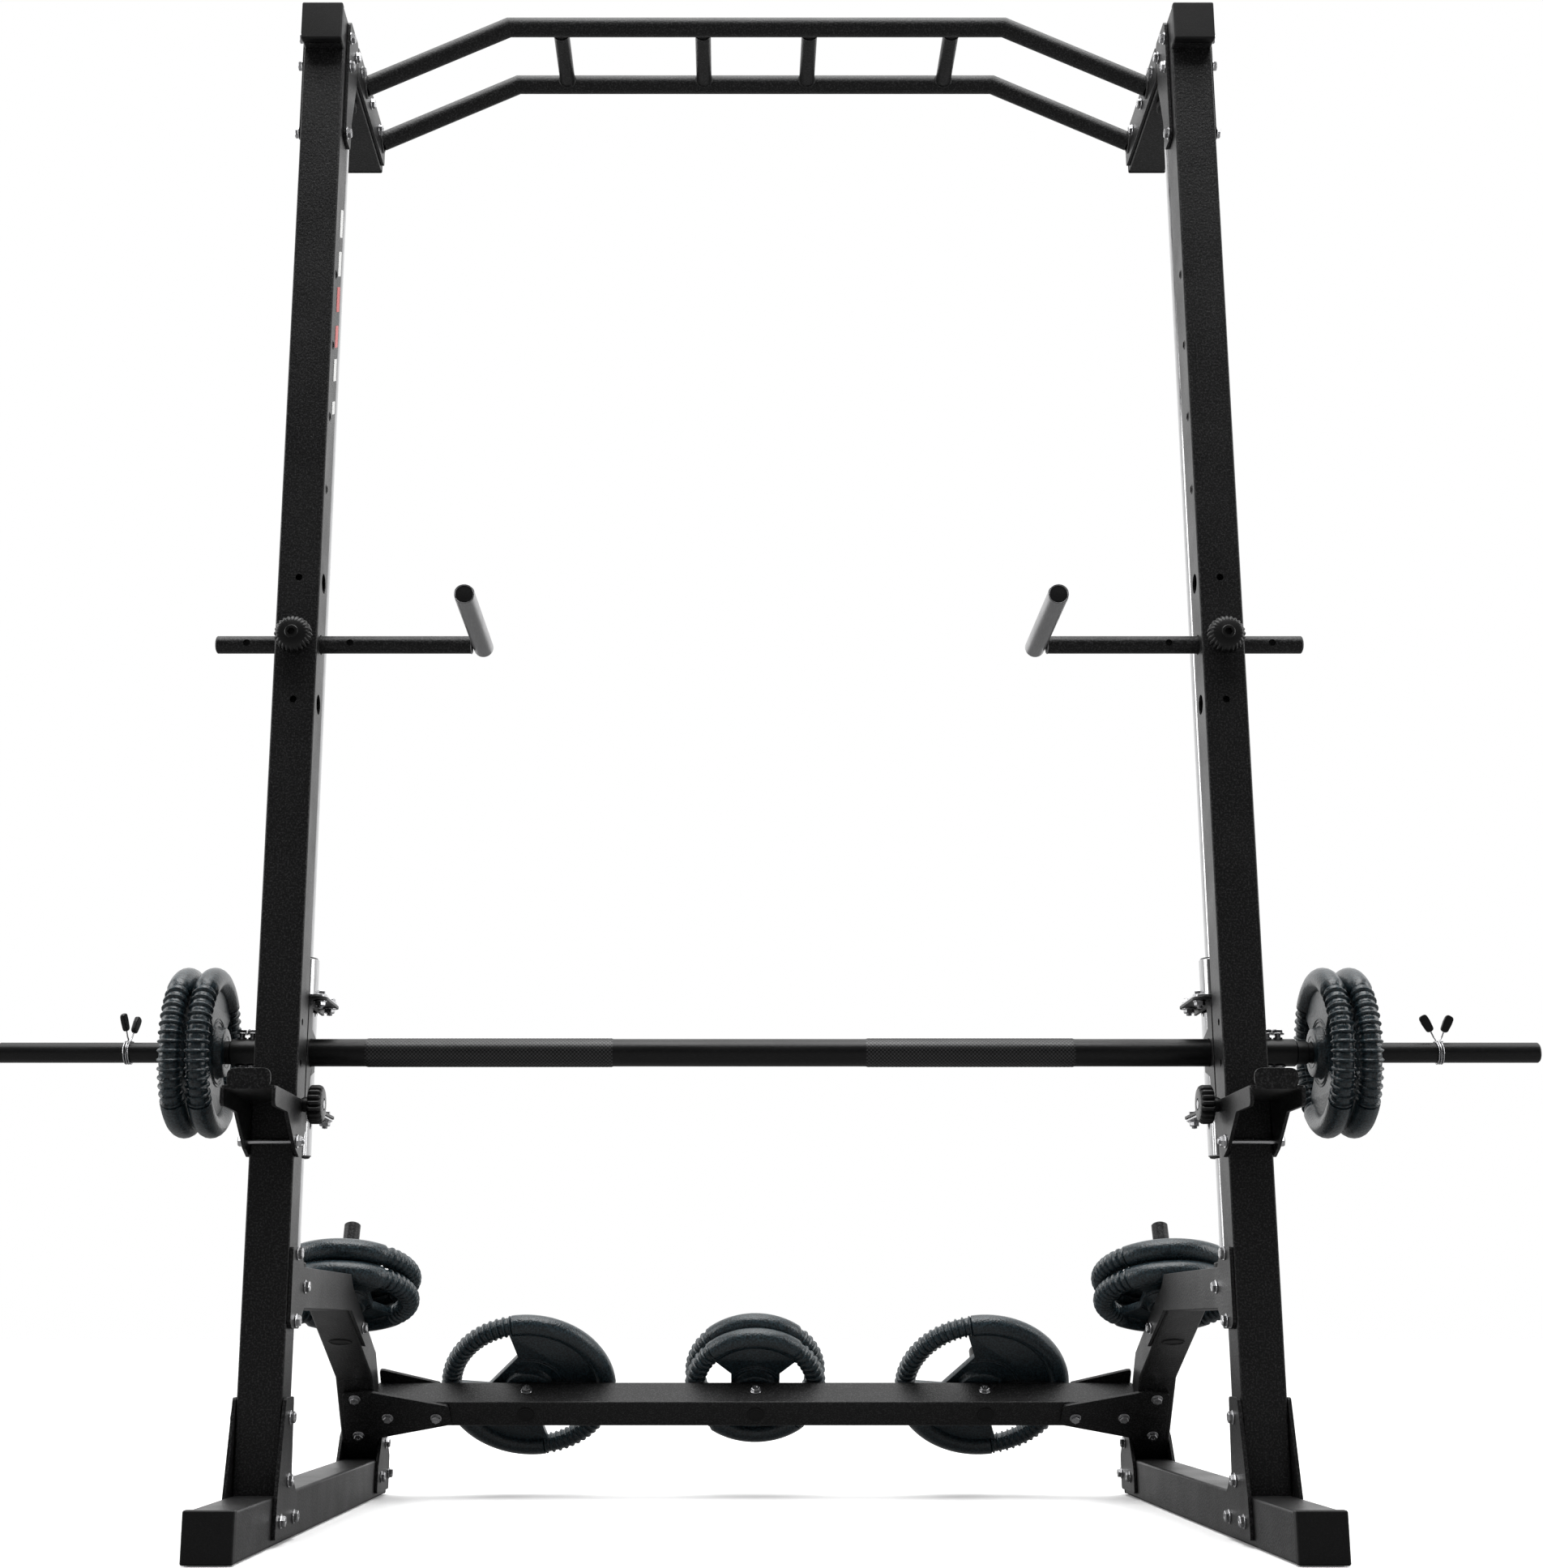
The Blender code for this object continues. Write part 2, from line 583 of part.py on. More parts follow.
def stored_plates():
    up = Vector((0, slant_up.x, slant_up.y))
    for side_name, side in SIDES:
        face = yz(side * SIDE_X, peg_foot + slant_up * LEG_DEPTH)
        for number, label in enumerate(("lower", "upper")):
            centre = face + up * (0.0245 + number * PLATE_PITCH)
            weight_plate(f"stored_leg_plate_{side_name}_{label}", centre, up, (1, 0, 0), SMALL_PLATE)
    back = Vector((0, lower_up.x, lower_up.y))
    down = Vector((0, lower_leg.x, lower_leg.y))
    first = CROSS_SIZE / 2 + 0.001 + PLATE_HUB_LENGTH / 2
    lean = math.radians(40)
    leaning = Vector((math.cos(lean), 0, 0)) + down * math.sin(lean)
    for side_name, side in SIDES:
        centre = yz(side * CROSS_PEG_X, cross_centre) + back * first
        weight_plate("stored_cross_plate_" + side_name, centre, back, leaning, LARGE_PLATE)
    for number, label in enumerate(("front", "rear")):
        centre = yz(0, cross_centre) + back * (first + number * PLATE_PITCH)
        weight_plate("stored_cross_plate_centre_" + label, centre, back, (1, 0, 0), SMALL_PLATE)


# ---- dip handles ----
def dip_handle(side_name, side):
    name = "dip_bar_" + side_name
    origin = (side * DIP_OUTER_X, 0, DIP_Z)
    butt = DIP_GRIP_X + DIP_GRIP_RADIUS + GAP
    rod = round_bar(name, "powder_coat", (side * butt, 0, DIP_Z), (side * DIP_OUTER_X, 0, DIP_Z),
                    DIP_RADIUS, 16, origin)
    pin_x = [side * (SIDE_X + number * DIP_HOLE_PITCH) for number in (-1, 0, 1)]
    drill(rod, [((x, -TUBE, DIP_Z), (x, TUBE, DIP_Z), 0.0045, 8) for x in pin_x])
    grip_x = side * DIP_GRIP_X
    grip = round_bar("dip_grip_" + side_name, "satin_steel", (grip_x, DIP_GRIP_RADIUS, DIP_Z),
                     (grip_x, DIP_GRIP_FRONT, DIP_Z), DIP_GRIP_RADIUS, 20, origin)
    cut(grip, round_bar(f"dip_grip_{side_name}_bore", None, (grip_x, TUBE, DIP_Z),
                        (grip_x, DIP_GRIP_FRONT + 0.017, DIP_Z), DIP_GRIP_RADIUS - WALL, 20))


def dip_knob(side_name, side):
    """Domed head on a screw that passes the upright's front wall and stops at the dip bar."""
    front = TUBE / 2 + GAP
    tip = DIP_RADIUS + GAP
    profile = [(0, 0.066), (0.012, 0.066), (0.020, 0.063), (0.026, 0.056), (0.026, 0.042),
               (0.015, front + 0.006), (0.013, front), (0.0042, front), (0.0042, tip), (0, tip)]
    turned("dip_knob_" + side_name, "black_plastic", profile, (side * SIDE_X, 0, DIP_Z),
           (math.pi / 2, 0, 0), 16)


# ---- bar catches ----
def bar_catch(side_name, side):
    """Two side plates astride the upright, a tray between them, a front lip and a cross bolt."""
    name = "bar_catch_" + side_name
    outline = ((CATCH_FRONT, CATCH_TOP), (CATCH_FRONT, 0.546), (-0.187, 0.542), (-0.110, 0.542),
               (-0.046, 0.499), (-0.022, 0.4905), (-0.010, 0.492), (0.018, 0.530), (0.018, CATCH_TOP))
    near = FACE_X - GAP - SHEET
    far = FACE_X + TUBE + GAP + SHEET
    catch = flat_plate(name, "powder_coat", outline, SHEET, side_frame(side * (near + SHEET / 2)))
    join(catch, flat_plate(name + "_outer", None, outline, SHEET, side_frame(side * (far - SHEET / 2))))
    wide = sorted((side * (near + SHEET / 2), side * (far - SHEET / 2)))
    tray_low = (wide[0], CATCH_FRONT, CATCH_TOP - SHEET)
    tray_high = (wide[1], -TUBE / 2 - GAP, CATCH_TOP)
    join(catch, box(name + "_tray", None, tray_low, tray_high))
    lip = sorted((side * SIDE_X - LIP_WIDTH / 2, side * SIDE_X + LIP_WIDTH / 2))
    lip_low = (lip[0], CATCH_FRONT, CATCH_TOP - SHEET)
    lip_high = (lip[1], CATCH_FRONT + SHEET, CATCH_TOP + LIP_HEIGHT)
    join(catch, box(name + "_lip", None, lip_low, lip_high))
    bolt = sorted((side * (near - 0.006), side * (far + 0.006)))
    join(catch, round_bar(name + "_bolt", None, (bolt[0], *CATCH_BOLT), (bolt[1], *CATCH_BOLT), 0.004, 8))
    cut(catch, round_bar(name + "_pin_hole", None, (side * (near - SHEET), *CATCH_PIN),
                         (side * (near + 2 * SHEET), *CATCH_PIN), PIN_HOLE_RADIUS, 12))


def catch_knob(side_name, side):
    """Ribbed pull knob on a pin, drawn back flush with the catch's side plate."""
    flush = FACE_X - GAP
    seat = flush - SHEET - GAP
    profile = [(0, 0), (0.0042, 0), (0.0042, flush - seat), (0.010, flush - seat), (0.010, 0.014),
               (0.0265, 0.014), (0.0265, 0.031), (0.022, 0.034), (0, 0.034)]
    turned("catch_knob_" + side_name, "black_plastic", profile[::-1], (side * flush, *CATCH_PIN),
           (0, -side * math.pi / 2, 0), 16)


for side_label, side_sign in SIDES:
    foot(side_label, side_sign)
    upright(side_label, side_sign)
    top_tube(side_label, side_sign)
    top_gusset(side_label, side_sign)
    leg(side_label, side_sign)
    leg_bracket(side_label, side_sign)
    foot_gusset(side_label, side_sign)
    rear_bracket(side_label, side_sign)
    guide_rod(side_label, side_sign)
    cross_gusset(side_label, side_sign)
    sleeve(side_label, side_sign)
    carriage_bracket(side_label, side_sign)
    dip_handle(side_label, side_sign)
    dip_knob(side_label, side_sign)
    bar_catch(side_label, side_sign)
    catch_knob(side_label, side_sign)
crossmember()
pull_up_frame()
bar()
spring_collar("left", COLLAR_X[0])
spring_collar("right", COLLAR_X[1])
bar_plates()
stored_plates()
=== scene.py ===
"""Looks of the half rack with a guided bar: fine shapes, fasteners, knobs, plates and materials.

Heights and depths are given as in the CAD: from the floor, and from the uprights' centre plane.
"""
import json
import math

import bmesh
import bpy
from mathutils import Matrix, Vector


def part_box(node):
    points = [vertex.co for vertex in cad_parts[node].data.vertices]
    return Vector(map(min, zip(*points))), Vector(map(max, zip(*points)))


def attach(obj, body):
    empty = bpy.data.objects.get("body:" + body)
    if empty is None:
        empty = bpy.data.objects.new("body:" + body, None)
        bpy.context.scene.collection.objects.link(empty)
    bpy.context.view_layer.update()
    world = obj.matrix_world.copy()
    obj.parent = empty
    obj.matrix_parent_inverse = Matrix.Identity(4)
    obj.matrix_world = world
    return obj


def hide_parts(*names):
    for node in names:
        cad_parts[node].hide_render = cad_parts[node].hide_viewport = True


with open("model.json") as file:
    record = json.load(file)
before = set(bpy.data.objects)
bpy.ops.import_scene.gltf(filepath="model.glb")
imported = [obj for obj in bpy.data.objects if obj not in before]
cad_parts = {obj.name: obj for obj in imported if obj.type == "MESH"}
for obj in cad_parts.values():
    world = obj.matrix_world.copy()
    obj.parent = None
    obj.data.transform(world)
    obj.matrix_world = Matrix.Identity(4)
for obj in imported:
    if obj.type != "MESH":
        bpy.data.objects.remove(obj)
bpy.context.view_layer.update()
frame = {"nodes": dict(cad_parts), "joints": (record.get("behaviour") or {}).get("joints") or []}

# ---- driving dimensions, in metres ----
upright_low, upright_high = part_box("upright_right")
DATUM_Y = (upright_low.y + upright_high.y) / 2
SIDE_X = (upright_low.x + upright_high.x) / 2
TUBE = upright_high.x - upright_low.x
GAP = 0.0003
SHEET = 0.005
WALL = 0.0025
INNER_FACE = SIDE_X - TUBE / 2 - GAP - SHEET     # inner side of the bracket plates
OUTER_FACE = SIDE_X + TUBE / 2 + GAP + SHEET     # outer side of the bracket plates
SIDES = (("left", -1), ("right", 1))
BAR_Y = 0.065
BAR_Z = 0.640
BAR_RADIUS = 0.014
TUBE_CORNER = 0.0035       # outside radius of the square tubes' corners
PLATE_CORNER = 0.006       # radius of the bracket plates' corners
PIN_HOLE = 0.0050          # radius of the pin holes in the uprights
PIN_Y = -0.011             # of the pin holes in the uprights' inner faces
CATCH_PIN_Z = 0.5613
PEG_RADIUS = 0.013
BEAM_HALF = 0.025          # half the depth of the leg's and the crossmember's tube
LEG_PEG_Y = 0.572          # where a leg's peg leaves its underside
MERGE = 0.00002            # vertices nearer than this are one
LEG_PATH = ((0.0303, 0.320), (0.4611, 0.320), (0.7309, 0.2116), (0.9020, 0.0105))


JOINT_AXIS = {joint["name"]: Vector(joint["axis"]) for joint in frame["joints"]}


def at(x, y, z):
    """A point given from the uprights' centre plane, in the row frame."""
    return Vector((x, y + DATUM_Y, z))


bar_centre = at(0, BAR_Y, BAR_Z)


# ---- materials ----
def feed(tree, node, inputs):
    """Links each input that is given an output socket, and sets each one that is given a value."""
    for name, value in inputs.items():
        if isinstance(value, bpy.types.NodeSocket):
            tree.links.new(value, node.inputs[name])
        else:
            node.inputs[name].default_value = value


def add_node(tree, kind, inputs, output=None):
    """Adds a shader node. Returns the output that is named, or else the node."""
    node = tree.nodes.new("ShaderNode" + kind)
    feed(tree, node, inputs)
    return node.outputs[output] if output else node


def new_material(name):
    made = bpy.data.materials.new(name)
    made.use_nodes = True
    return made, made.node_tree, made.node_tree.nodes["Principled BSDF"]


def grown_material(name, colour, roughness, metallic=0.0, grain=420.0, height=0.00025, spread=0.05,
                   fleck=None, fleck_share=0.62, stretch=(1, 1, 1), specular=0.5):
    """Colour with fine flecks, roughness that drifts slowly, and a fine grain as bump."""
    made, tree, shader = new_material(name)
    place = add_node(tree, "TexCoord", {}, "Object")
    scaled = add_node(tree, "Mapping", {"Vector": place, "Scale": stretch}, "Vector")
    fine = add_node(tree, "TexNoise", {"Vector": scaled, "Scale": grain, "Detail": 3.0}, "Fac")
    bump = add_node(tree, "Bump", {"Height": fine, "Strength": 1.0, "Distance": height}, "Normal")
    slow = add_node(tree, "TexNoise", {"Vector": place, "Scale": 11.0, "Detail": 4.0}, "Fac")
    drift = add_node(tree, "MapRange", {"Value": slow, "From Min": 0.3, "From Max": 0.7,
                                        "To Min": roughness - spread, "To Max": roughness + spread}, "Result")
    specks = add_node(tree, "TexNoise", {"Vector": scaled, "Scale": grain * 1.3, "Detail": 2.0}, "Fac")
    ramp = add_node(tree, "ValToRGB", {"Fac": specks})
    ground, raised = ramp.color_ramp.elements
    ground.position = fleck_share - 0.14
    ground.color = (*colour, 1)
    raised.position = fleck_share + 0.06
    raised.color = (*(fleck or [min(1, c * 1.25) for c in colour]), 1)
    feed(tree, shader, {"Base Color": ramp.outputs["Color"], "Metallic": metallic, "Roughness": drift,
                        "Specular IOR Level": specular, "Normal": bump})
    return made


LOOKS = {
    "powder": grown_material("black_powder_coat", (0.0050, 0.0050, 0.0052), 0.40, grain=330, height=0.0005,
                             fleck=(0.036, 0.036, 0.037), specular=0.28),
    "cap": grown_material("black_cap_plastic", (0.0050, 0.0050, 0.0052), 0.46, grain=600, height=0.00015,
                          fleck=(0.010, 0.010, 0.0105), specular=0.25),
    "knob": grown_material("black_knob_plastic", (0.0045, 0.0045, 0.0047), 0.34, grain=800, height=0.00006,
                           fleck=(0.007, 0.007, 0.0072), specular=0.34),
    # Painted highlight: a lighter colour for every other knurl facet, standing in for the light caught by the
    # raised points
    "crest_highlight": grown_material("knurl_painted_highlight", (0.030, 0.030, 0.031), 0.34, grain=520, height=0.00010,
                            fleck=(0.060, 0.060, 0.061), specular=0.50),
    "bar": grown_material("black_bar_steel", (0.0040, 0.0040, 0.0042), 0.36, grain=520, height=0.00010,
                          fleck=(0.008, 0.008, 0.0085), stretch=(0.25, 1, 1), specular=0.30),
    "plate": grown_material("speckled_plate_coating", (0.0028, 0.0062, 0.0085), 0.31, grain=300,
                            height=0.0007, fleck=(0.024, 0.044, 0.055), fleck_share=0.56, specular=0.60),
    "chrome": grown_material("bright_chrome", (0.44, 0.44, 0.445), 0.14, metallic=1.0, grain=900,
                             height=0.00001, spread=0.03, stretch=(1, 1, 0.05)),
    "satin": grown_material("satin_steel", (0.27, 0.27, 0.275), 0.34, metallic=1.0, grain=1100,
                            height=0.00003, spread=0.04, stretch=(1, 0.06, 1)),
    "zinc": grown_material("zinc_plated_steel", (0.46, 0.46, 0.47), 0.26, metallic=1.0, grain=900,
                           height=0.00003, spread=0.06),
    "white_film": grown_material("white_sticker_film", (0.75, 0.75, 0.74), 0.35, grain=700, height=0.00004),
    "red_film": grown_material("red_sticker_film", (0.55, 0.018, 0.012), 0.35, grain=700, height=0.00004),
}


# ---- mesh helpers ----
def mark(shape, before, look_number):
    """Gives every face made since `before` one of the piece's materials."""
    for face in list(shape.faces)[before:]:
        face.material_index = look_number


def mesh_of(shape, looks, name="made"):
    bmesh.ops.recalc_face_normals(shape, faces=shape.faces)
    mesh = bpy.data.meshes.new(name)
    shape.to_mesh(mesh)
    shape.free()
    for look in looks:
        mesh.materials.append(LOOKS[look])
    return mesh


def make_piece(name, shape, looks, body, stands_for=(), sharp=32):
    """A piece in one look, or in several when `looks` is a list; the first one names its slot."""
    looks = [looks] if isinstance(looks, str) else looks
    return place_piece(name, mesh_of(shape, looks, name), body, stands_for, sharp)


def place_piece(name, mesh, body, stands_for=(), sharp=32, flat=True):
    mesh.shade_smooth()
    mesh.set_sharp_from_angle(angle=math.radians(sharp))
    obj = bpy.data.objects.new(name, mesh)
    bpy.context.scene.collection.objects.link(obj)
    if flat:
        weighted = obj.modifiers.new("flat_faces", "WEIGHTED_NORMAL")
        weighted.keep_sharp = True
        weighted.weight = 90
    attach(obj, body)
    if stands_for:
        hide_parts(*stands_for)
    return obj


def frame_on(axis, origin=(0, 0, 0), across=None):
    """A matrix whose Z lies along axis, and whose X is as near as possible to across."""
    z_axis = Vector(axis).normalized()
    hint = Vector(across) if across else (Vector((1, 0, 0)) if abs(z_axis.x) < 0.9 else Vector((0, 1, 0)))
    x_axis = (hint - z_axis * hint.dot(z_axis)).normalized()
    y_axis = z_axis.cross(x_axis)
    return Matrix.Translation(origin) @ Matrix((x_axis, y_axis, z_axis)).transposed().to_4x4()


def side_plane(x, y=DATUM_Y, z=0):
    """Stands a flat outline of (Y, Z) points up at x. Its thickness, or a lathe's height, runs along X."""
    return frame_on((1, 0, 0), (x, y, z), (0, 1, 0))


def turn(count):
    """Even angles round a full turn."""
    return [2 * math.pi * k / count for k in range(count)]


def skin(shape, rings, closed=False):
    """Joins rings of vertices, one after another, with quads. A ring of one vertex makes a tip."""
    pairs = list(zip(rings, rings[1:])) + ([(rings[-1], rings[0])] if closed else [])
    for near, far in pairs:
        count = max(len(near), len(far))
        for i in range(count):
            j = (i + 1) % count
            if len(near) == 1:
                shape.faces.new((near[0], far[j], far[i]))
            elif len(far) == 1:
                shape.faces.new((near[i], near[j], far[0]))
            else:
                shape.faces.new((near[i], near[j], far[j], far[i]))


def close_ends(shape, rings):
    shape.faces.new(rings[0][::-1])
    shape.faces.new(rings[-1])


def lathe(shape, profile, place, steps=48, lobes=0):
    """Turns (radius, height) or (radius, height, lobe depth) points about Z. Ends close at radius 0."""
    closed = profile[0] == profile[-1] and profile[0][0] > 0
    rings = []
    for radius, height, *depth in profile[:-1] if closed else profile:
        if radius == 0:
            rings.append([shape.verts.new(place @ Vector((0, 0, height)))])
            continue
        ring = []
        for angle in turn(steps):
            reach = radius - sum(depth) * (0.5 - 0.5 * math.cos(lobes * angle)) ** 2
            point = Vector((reach * math.cos(angle), reach * math.sin(angle), height))
            ring.append(shape.verts.new(place @ point))
        rings.append(ring)
    skin(shape, rings, closed)


def rod(shape, start, end, radius, steps=40, chamfer=0.001):
    start, end = Vector(start), Vector(end)
    length = (end - start).length
    profile = [(0, 0), (radius - chamfer, 0), (radius, chamfer), (radius, length - chamfer),
               (radius - chamfer, length), (0, length)]
    lathe(shape, profile, frame_on(end - start, start), steps)


def tube(shape, start, end, outer, inner, steps=40, chamfer=0.0008):
    start, end = Vector(start), Vector(end)
    length = (end - start).length
    profile = [(inner, chamfer), (inner + chamfer, 0), (outer - chamfer, 0), (outer, chamfer),
               (outer, length - chamfer), (outer - chamfer, length), (inner + chamfer, length),
               (inner, length - chamfer), (inner, chamfer)]
    lathe(shape, profile, frame_on(end - start, start), steps)


def sweep(shape, points, radius, steps=10):
    """A round wire along points."""
    points = [Vector(point) for point in points]
    rings = []
    side = (points[1] - points[0]).orthogonal()
    for before, point, after in zip(points[:1] + points, points, points[1:] + points[-1:]):
        along = (after - before).normalized()
        side = (side - along * side.dot(along)).normalized()
        other = along.cross(side)
        rings.append([shape.verts.new(point + radius * (side * math.cos(a) + other * math.sin(a)))
                      for a in turn(steps)])
    skin(shape, rings)
    close_ends(shape, rings)


def turned(name, profile, places, steps, look, body):
    """One piece: the same lathed profile at each of the places."""
    shape = bmesh.new()
    for place in places:
        lathe(shape, profile, place, steps)
    make_piece(name, shape, look, body)


def fillet(points, radius, steps=5):
    """Rounds the corners of a closed 2-D outline, as far as its sides leave room."""
    rounded = []
    count = len(points)
    for i in range(count):
        corner = Vector(points[i])
        before, after = Vector(points[i - 1]) - corner, Vector(points[(i + 1) % count]) - corner
        bend = before.angle(after)
        if bend > math.radians(172):
            rounded.append(corner)
            continue
        room = 0.45 * min(before.length, after.length)
        cut_back = min(radius / math.tan(bend / 2), room)
        start = corner + before.normalized() * cut_back
        end = corner + after.normalized() * cut_back
        for k in range(steps + 1):
            t = k / steps
            rounded.append(start * (1 - t) ** 2 + corner * 2 * t * (1 - t) + end * t ** 2)
    return rounded


def rectangle(low_a, low_b, high_a, high_b):
    return [(low_a, low_b), (high_a, low_b), (high_a, high_b), (low_a, high_b)]


def slab(shape, outline, place, thickness, edge=0.0007):
    """A flat plate on both sides of the place's XY plane, with its rims eased."""
    made = bmesh.new()
    levels = (-thickness / 2, thickness / 2)
    ends = [[made.verts.new((p[0], p[1], level)) for p in outline] for level in levels]
    skin(made, ends)
    close_ends(made, ends)
    bmesh.ops.recalc_face_normals(made, faces=made.faces)
    rims = [e for e in made.edges if abs(e.verts[0].co.z - e.verts[1].co.z) < 1e-7]
    bmesh.ops.bevel(made, geom=rims, offset=edge, segments=2, profile=0.5, affect="EDGES")
    made.transform(place)
    add_to(shape, made)


def add_to(shape, made):
    """Moves the whole of one shape into another."""
    copied = bpy.data.meshes.new("copied")
    made.to_mesh(copied)
    made.free()
    shape.from_mesh(copied)
    bpy.data.meshes.remove(copied)


def result_of(target, *helpers):
    """The mesh that an object's modifiers or curve settings give. The objects themselves are deleted."""
    for obj in (target, *helpers):
        bpy.context.scene.collection.objects.link(obj)
    graph = bpy.context.evaluated_depsgraph_get()
    result = bpy.data.meshes.new_from_object(target.evaluated_get(graph))
    for obj in (target, *helpers):
        bpy.data.objects.remove(obj, do_unlink=True)
    return result


def baked(mesh, tool_shape):
    """The mesh with the tool cut away."""
    target = bpy.data.objects.new("bake_target", mesh)
    tool = bpy.data.objects.new("bake_tool", mesh_of(tool_shape, ()))
    cut = target.modifiers.new("cut", "BOOLEAN")
    cut.operation = "DIFFERENCE"
    cut.solver = "EXACT"
    cut.object = tool
    return result_of(target, tool)


def rounded_square(half_a, half_b, corner):
    steps = 4
    loop = []
    for quarter, (sign_a, sign_b) in enumerate(((1, 1), (-1, 1), (-1, -1), (1, -1))):
        for k in range(steps + 1):
            angle = math.pi / 2 * (quarter + k / steps)
            loop.append((sign_a * (half_a - corner) + corner * math.cos(angle),
                         sign_b * (half_b - corner) + corner * math.sin(angle)))
    return loop


def hollow_section(shape, stations, half_a, half_b):
    """A rectangular tube with round corners through stations, each (point, vector along a, along b)."""
    outer = rounded_square(half_a, half_b, TUBE_CORNER)
    inner = rounded_square(half_a - WALL, half_b - WALL, TUBE_CORNER - WALL)
    walls = [[[shape.verts.new(point + a_way * a + b_way * b) for a, b in loop]
              for point, a_way, b_way in stations] for loop in (outer, inner)]
    for rings in walls:
        skin(shape, rings)
    for end in (0, -1):
        skin(shape, [walls[0][end], walls[1][end]])


# ---- fasteners ----
HEAD_RADIUS = 0.0076
WASHER_RADIUS = 0.0092


def washer(shape, place):
    lathe(shape, [(0, 0), (WASHER_RADIUS - 0.0004, 0), (WASHER_RADIUS, 0.0004), (WASHER_RADIUS, 0.0012),
                  (WASHER_RADIUS - 0.0004, 0.0016), (0, 0.0016)], place, 28)


def bolt_head(shape, place):
    """Hexagon head with a chamfered crown, standing on a washer."""
    washer(shape, place)
    radius = HEAD_RADIUS
    lathe(shape, [(0, 0.0012), (radius, 0.0012), (radius, 0.0058), (radius * 0.84, 0.0070),
                  (radius * 0.40, 0.0070), (radius * 0.34, 0.0066), (0, 0.0066)], place, 6)


def nut(shape, place):
    """Nut on a washer, with the end of the threaded shank showing."""
    washer(shape, place)
    radius = HEAD_RADIUS
    lathe(shape, [(0, 0.0012), (radius * 0.95, 0.0012), (radius, 0.0020), (radius, 0.0062),
                  (radius * 0.86, 0.0072), (0, 0.0072)], place, 6)
    shank = [(0, 0.006)]
    for ridge in range(4):
        height = 0.0072 + 0.0009 * ridge
        shank += [(0.0040, height), (0.0035, height + 0.00045)]
    lathe(shape, shank + [(0, 0.0110)], place, 20)


def fasteners(name, body, heads=(), nuts=()):
    """One piece holding all the bolts of one joint; each is (point, direction it faces)."""
    shape = bmesh.new()
    for number, (point, way) in enumerate(heads):
        bolt_head(shape, frame_on(way, point) @ Matrix.Rotation(0.5 + number * 0.7, 4, "Z"))
    for number, (point, way) in enumerate(nuts):
        nut(shape, frame_on(way, point) @ Matrix.Rotation(0.2 + number * 0.9, 4, "Z"))
    return make_piece(name, shape, "zinc", body, sharp=25)


def through_bolts(name, side, places, outer=True):
    """Heads on the inner bracket plate, and on the outer one where there is one, at (Y, Z) places."""
    heads = [(at(side * INNER_FACE, y, z), (-side, 0, 0)) for y, z in places]
    if outer:
        heads += [(at(side * OUTER_FACE, y, z), (side, 0, 0)) for y, z in places]
    fasteners(name, "frame", heads)


def plain_shape(node):
    """The frame's mesh of a node, with its triangles joined into whole flat faces."""
    shape = bmesh.new()
    shape.from_mesh(frame["nodes"][node].data)
    bmesh.ops.remove_doubles(shape, verts=shape.verts, dist=MERGE)
    bmesh.ops.dissolve_limit(shape, angle_limit=math.radians(1), verts=shape.verts, edges=shape.edges)
    return shape


def outline_of(node):
    """The flat outline of a plate node, as 3-D corners in order, with its normal and thickness."""
    shape = plain_shape(node)
    face = max(shape.faces, key=lambda f: f.calc_area())
    normal = face.normal.copy()
    corners = [v.co.copy() for v in face.verts]
    heights = [v.co.dot(normal) for v in shape.verts]
    shape.free()
    return corners, normal, max(heights) - min(heights)


def bracket_plate(node, copies=(("", (0, 0, 0)),)):
    """Rebuilds a flat plate node with rounded corners and eased rims, plus shifted copies of it."""
    corners, normal, thickness = outline_of(node)
    place = frame_on(normal, corners[0] - normal * thickness / 2)
    back = place.inverted()
    flat = [(back @ point).to_2d() for point in corners]
    for suffix, shift in copies:
        shape = bmesh.new()
        slab(shape, fillet(flat, PLATE_CORNER), Matrix.Translation(shift) @ place, thickness)
        make_piece(node + "_sheet" + suffix, shape, "powder", "frame", (node,) if not suffix else ())


# ---- frame ----
def straight_tube(node, along):
    """The tube of a node's box, lying along one axis."""
    low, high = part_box(node)
    half = (high - low) / 2
    a_axis, b_axis = [axis for axis in range(3) if axis != along]
    units = Matrix.Identity(3)
    ends = []
    for value in (low[along], high[along]):
        point = (low + high) / 2
        point[along] = value
        ends.append((point, units[a_axis], units[b_axis]))
    shape = bmesh.new()
    hollow_section(shape, ends, half[a_axis], half[b_axis])
    return shape


def end_cap(name, low, high, stands_for=()):
    """Plastic plug with rounded edges, closing a tube's end."""
    low, high = Vector(low), Vector(high)
    shape = bmesh.new()
    bmesh.ops.create_cube(shape, size=1, matrix=Matrix.Translation((low + high) / 2)
                          @ Matrix.Diagonal((*(high - low), 1)))
    bmesh.ops.bevel(shape, geom=shape.edges[:], offset=0.0028, segments=4, profile=0.5, affect="EDGES")
    make_piece(name, shape, "cap", "frame", stands_for, sharp=40)


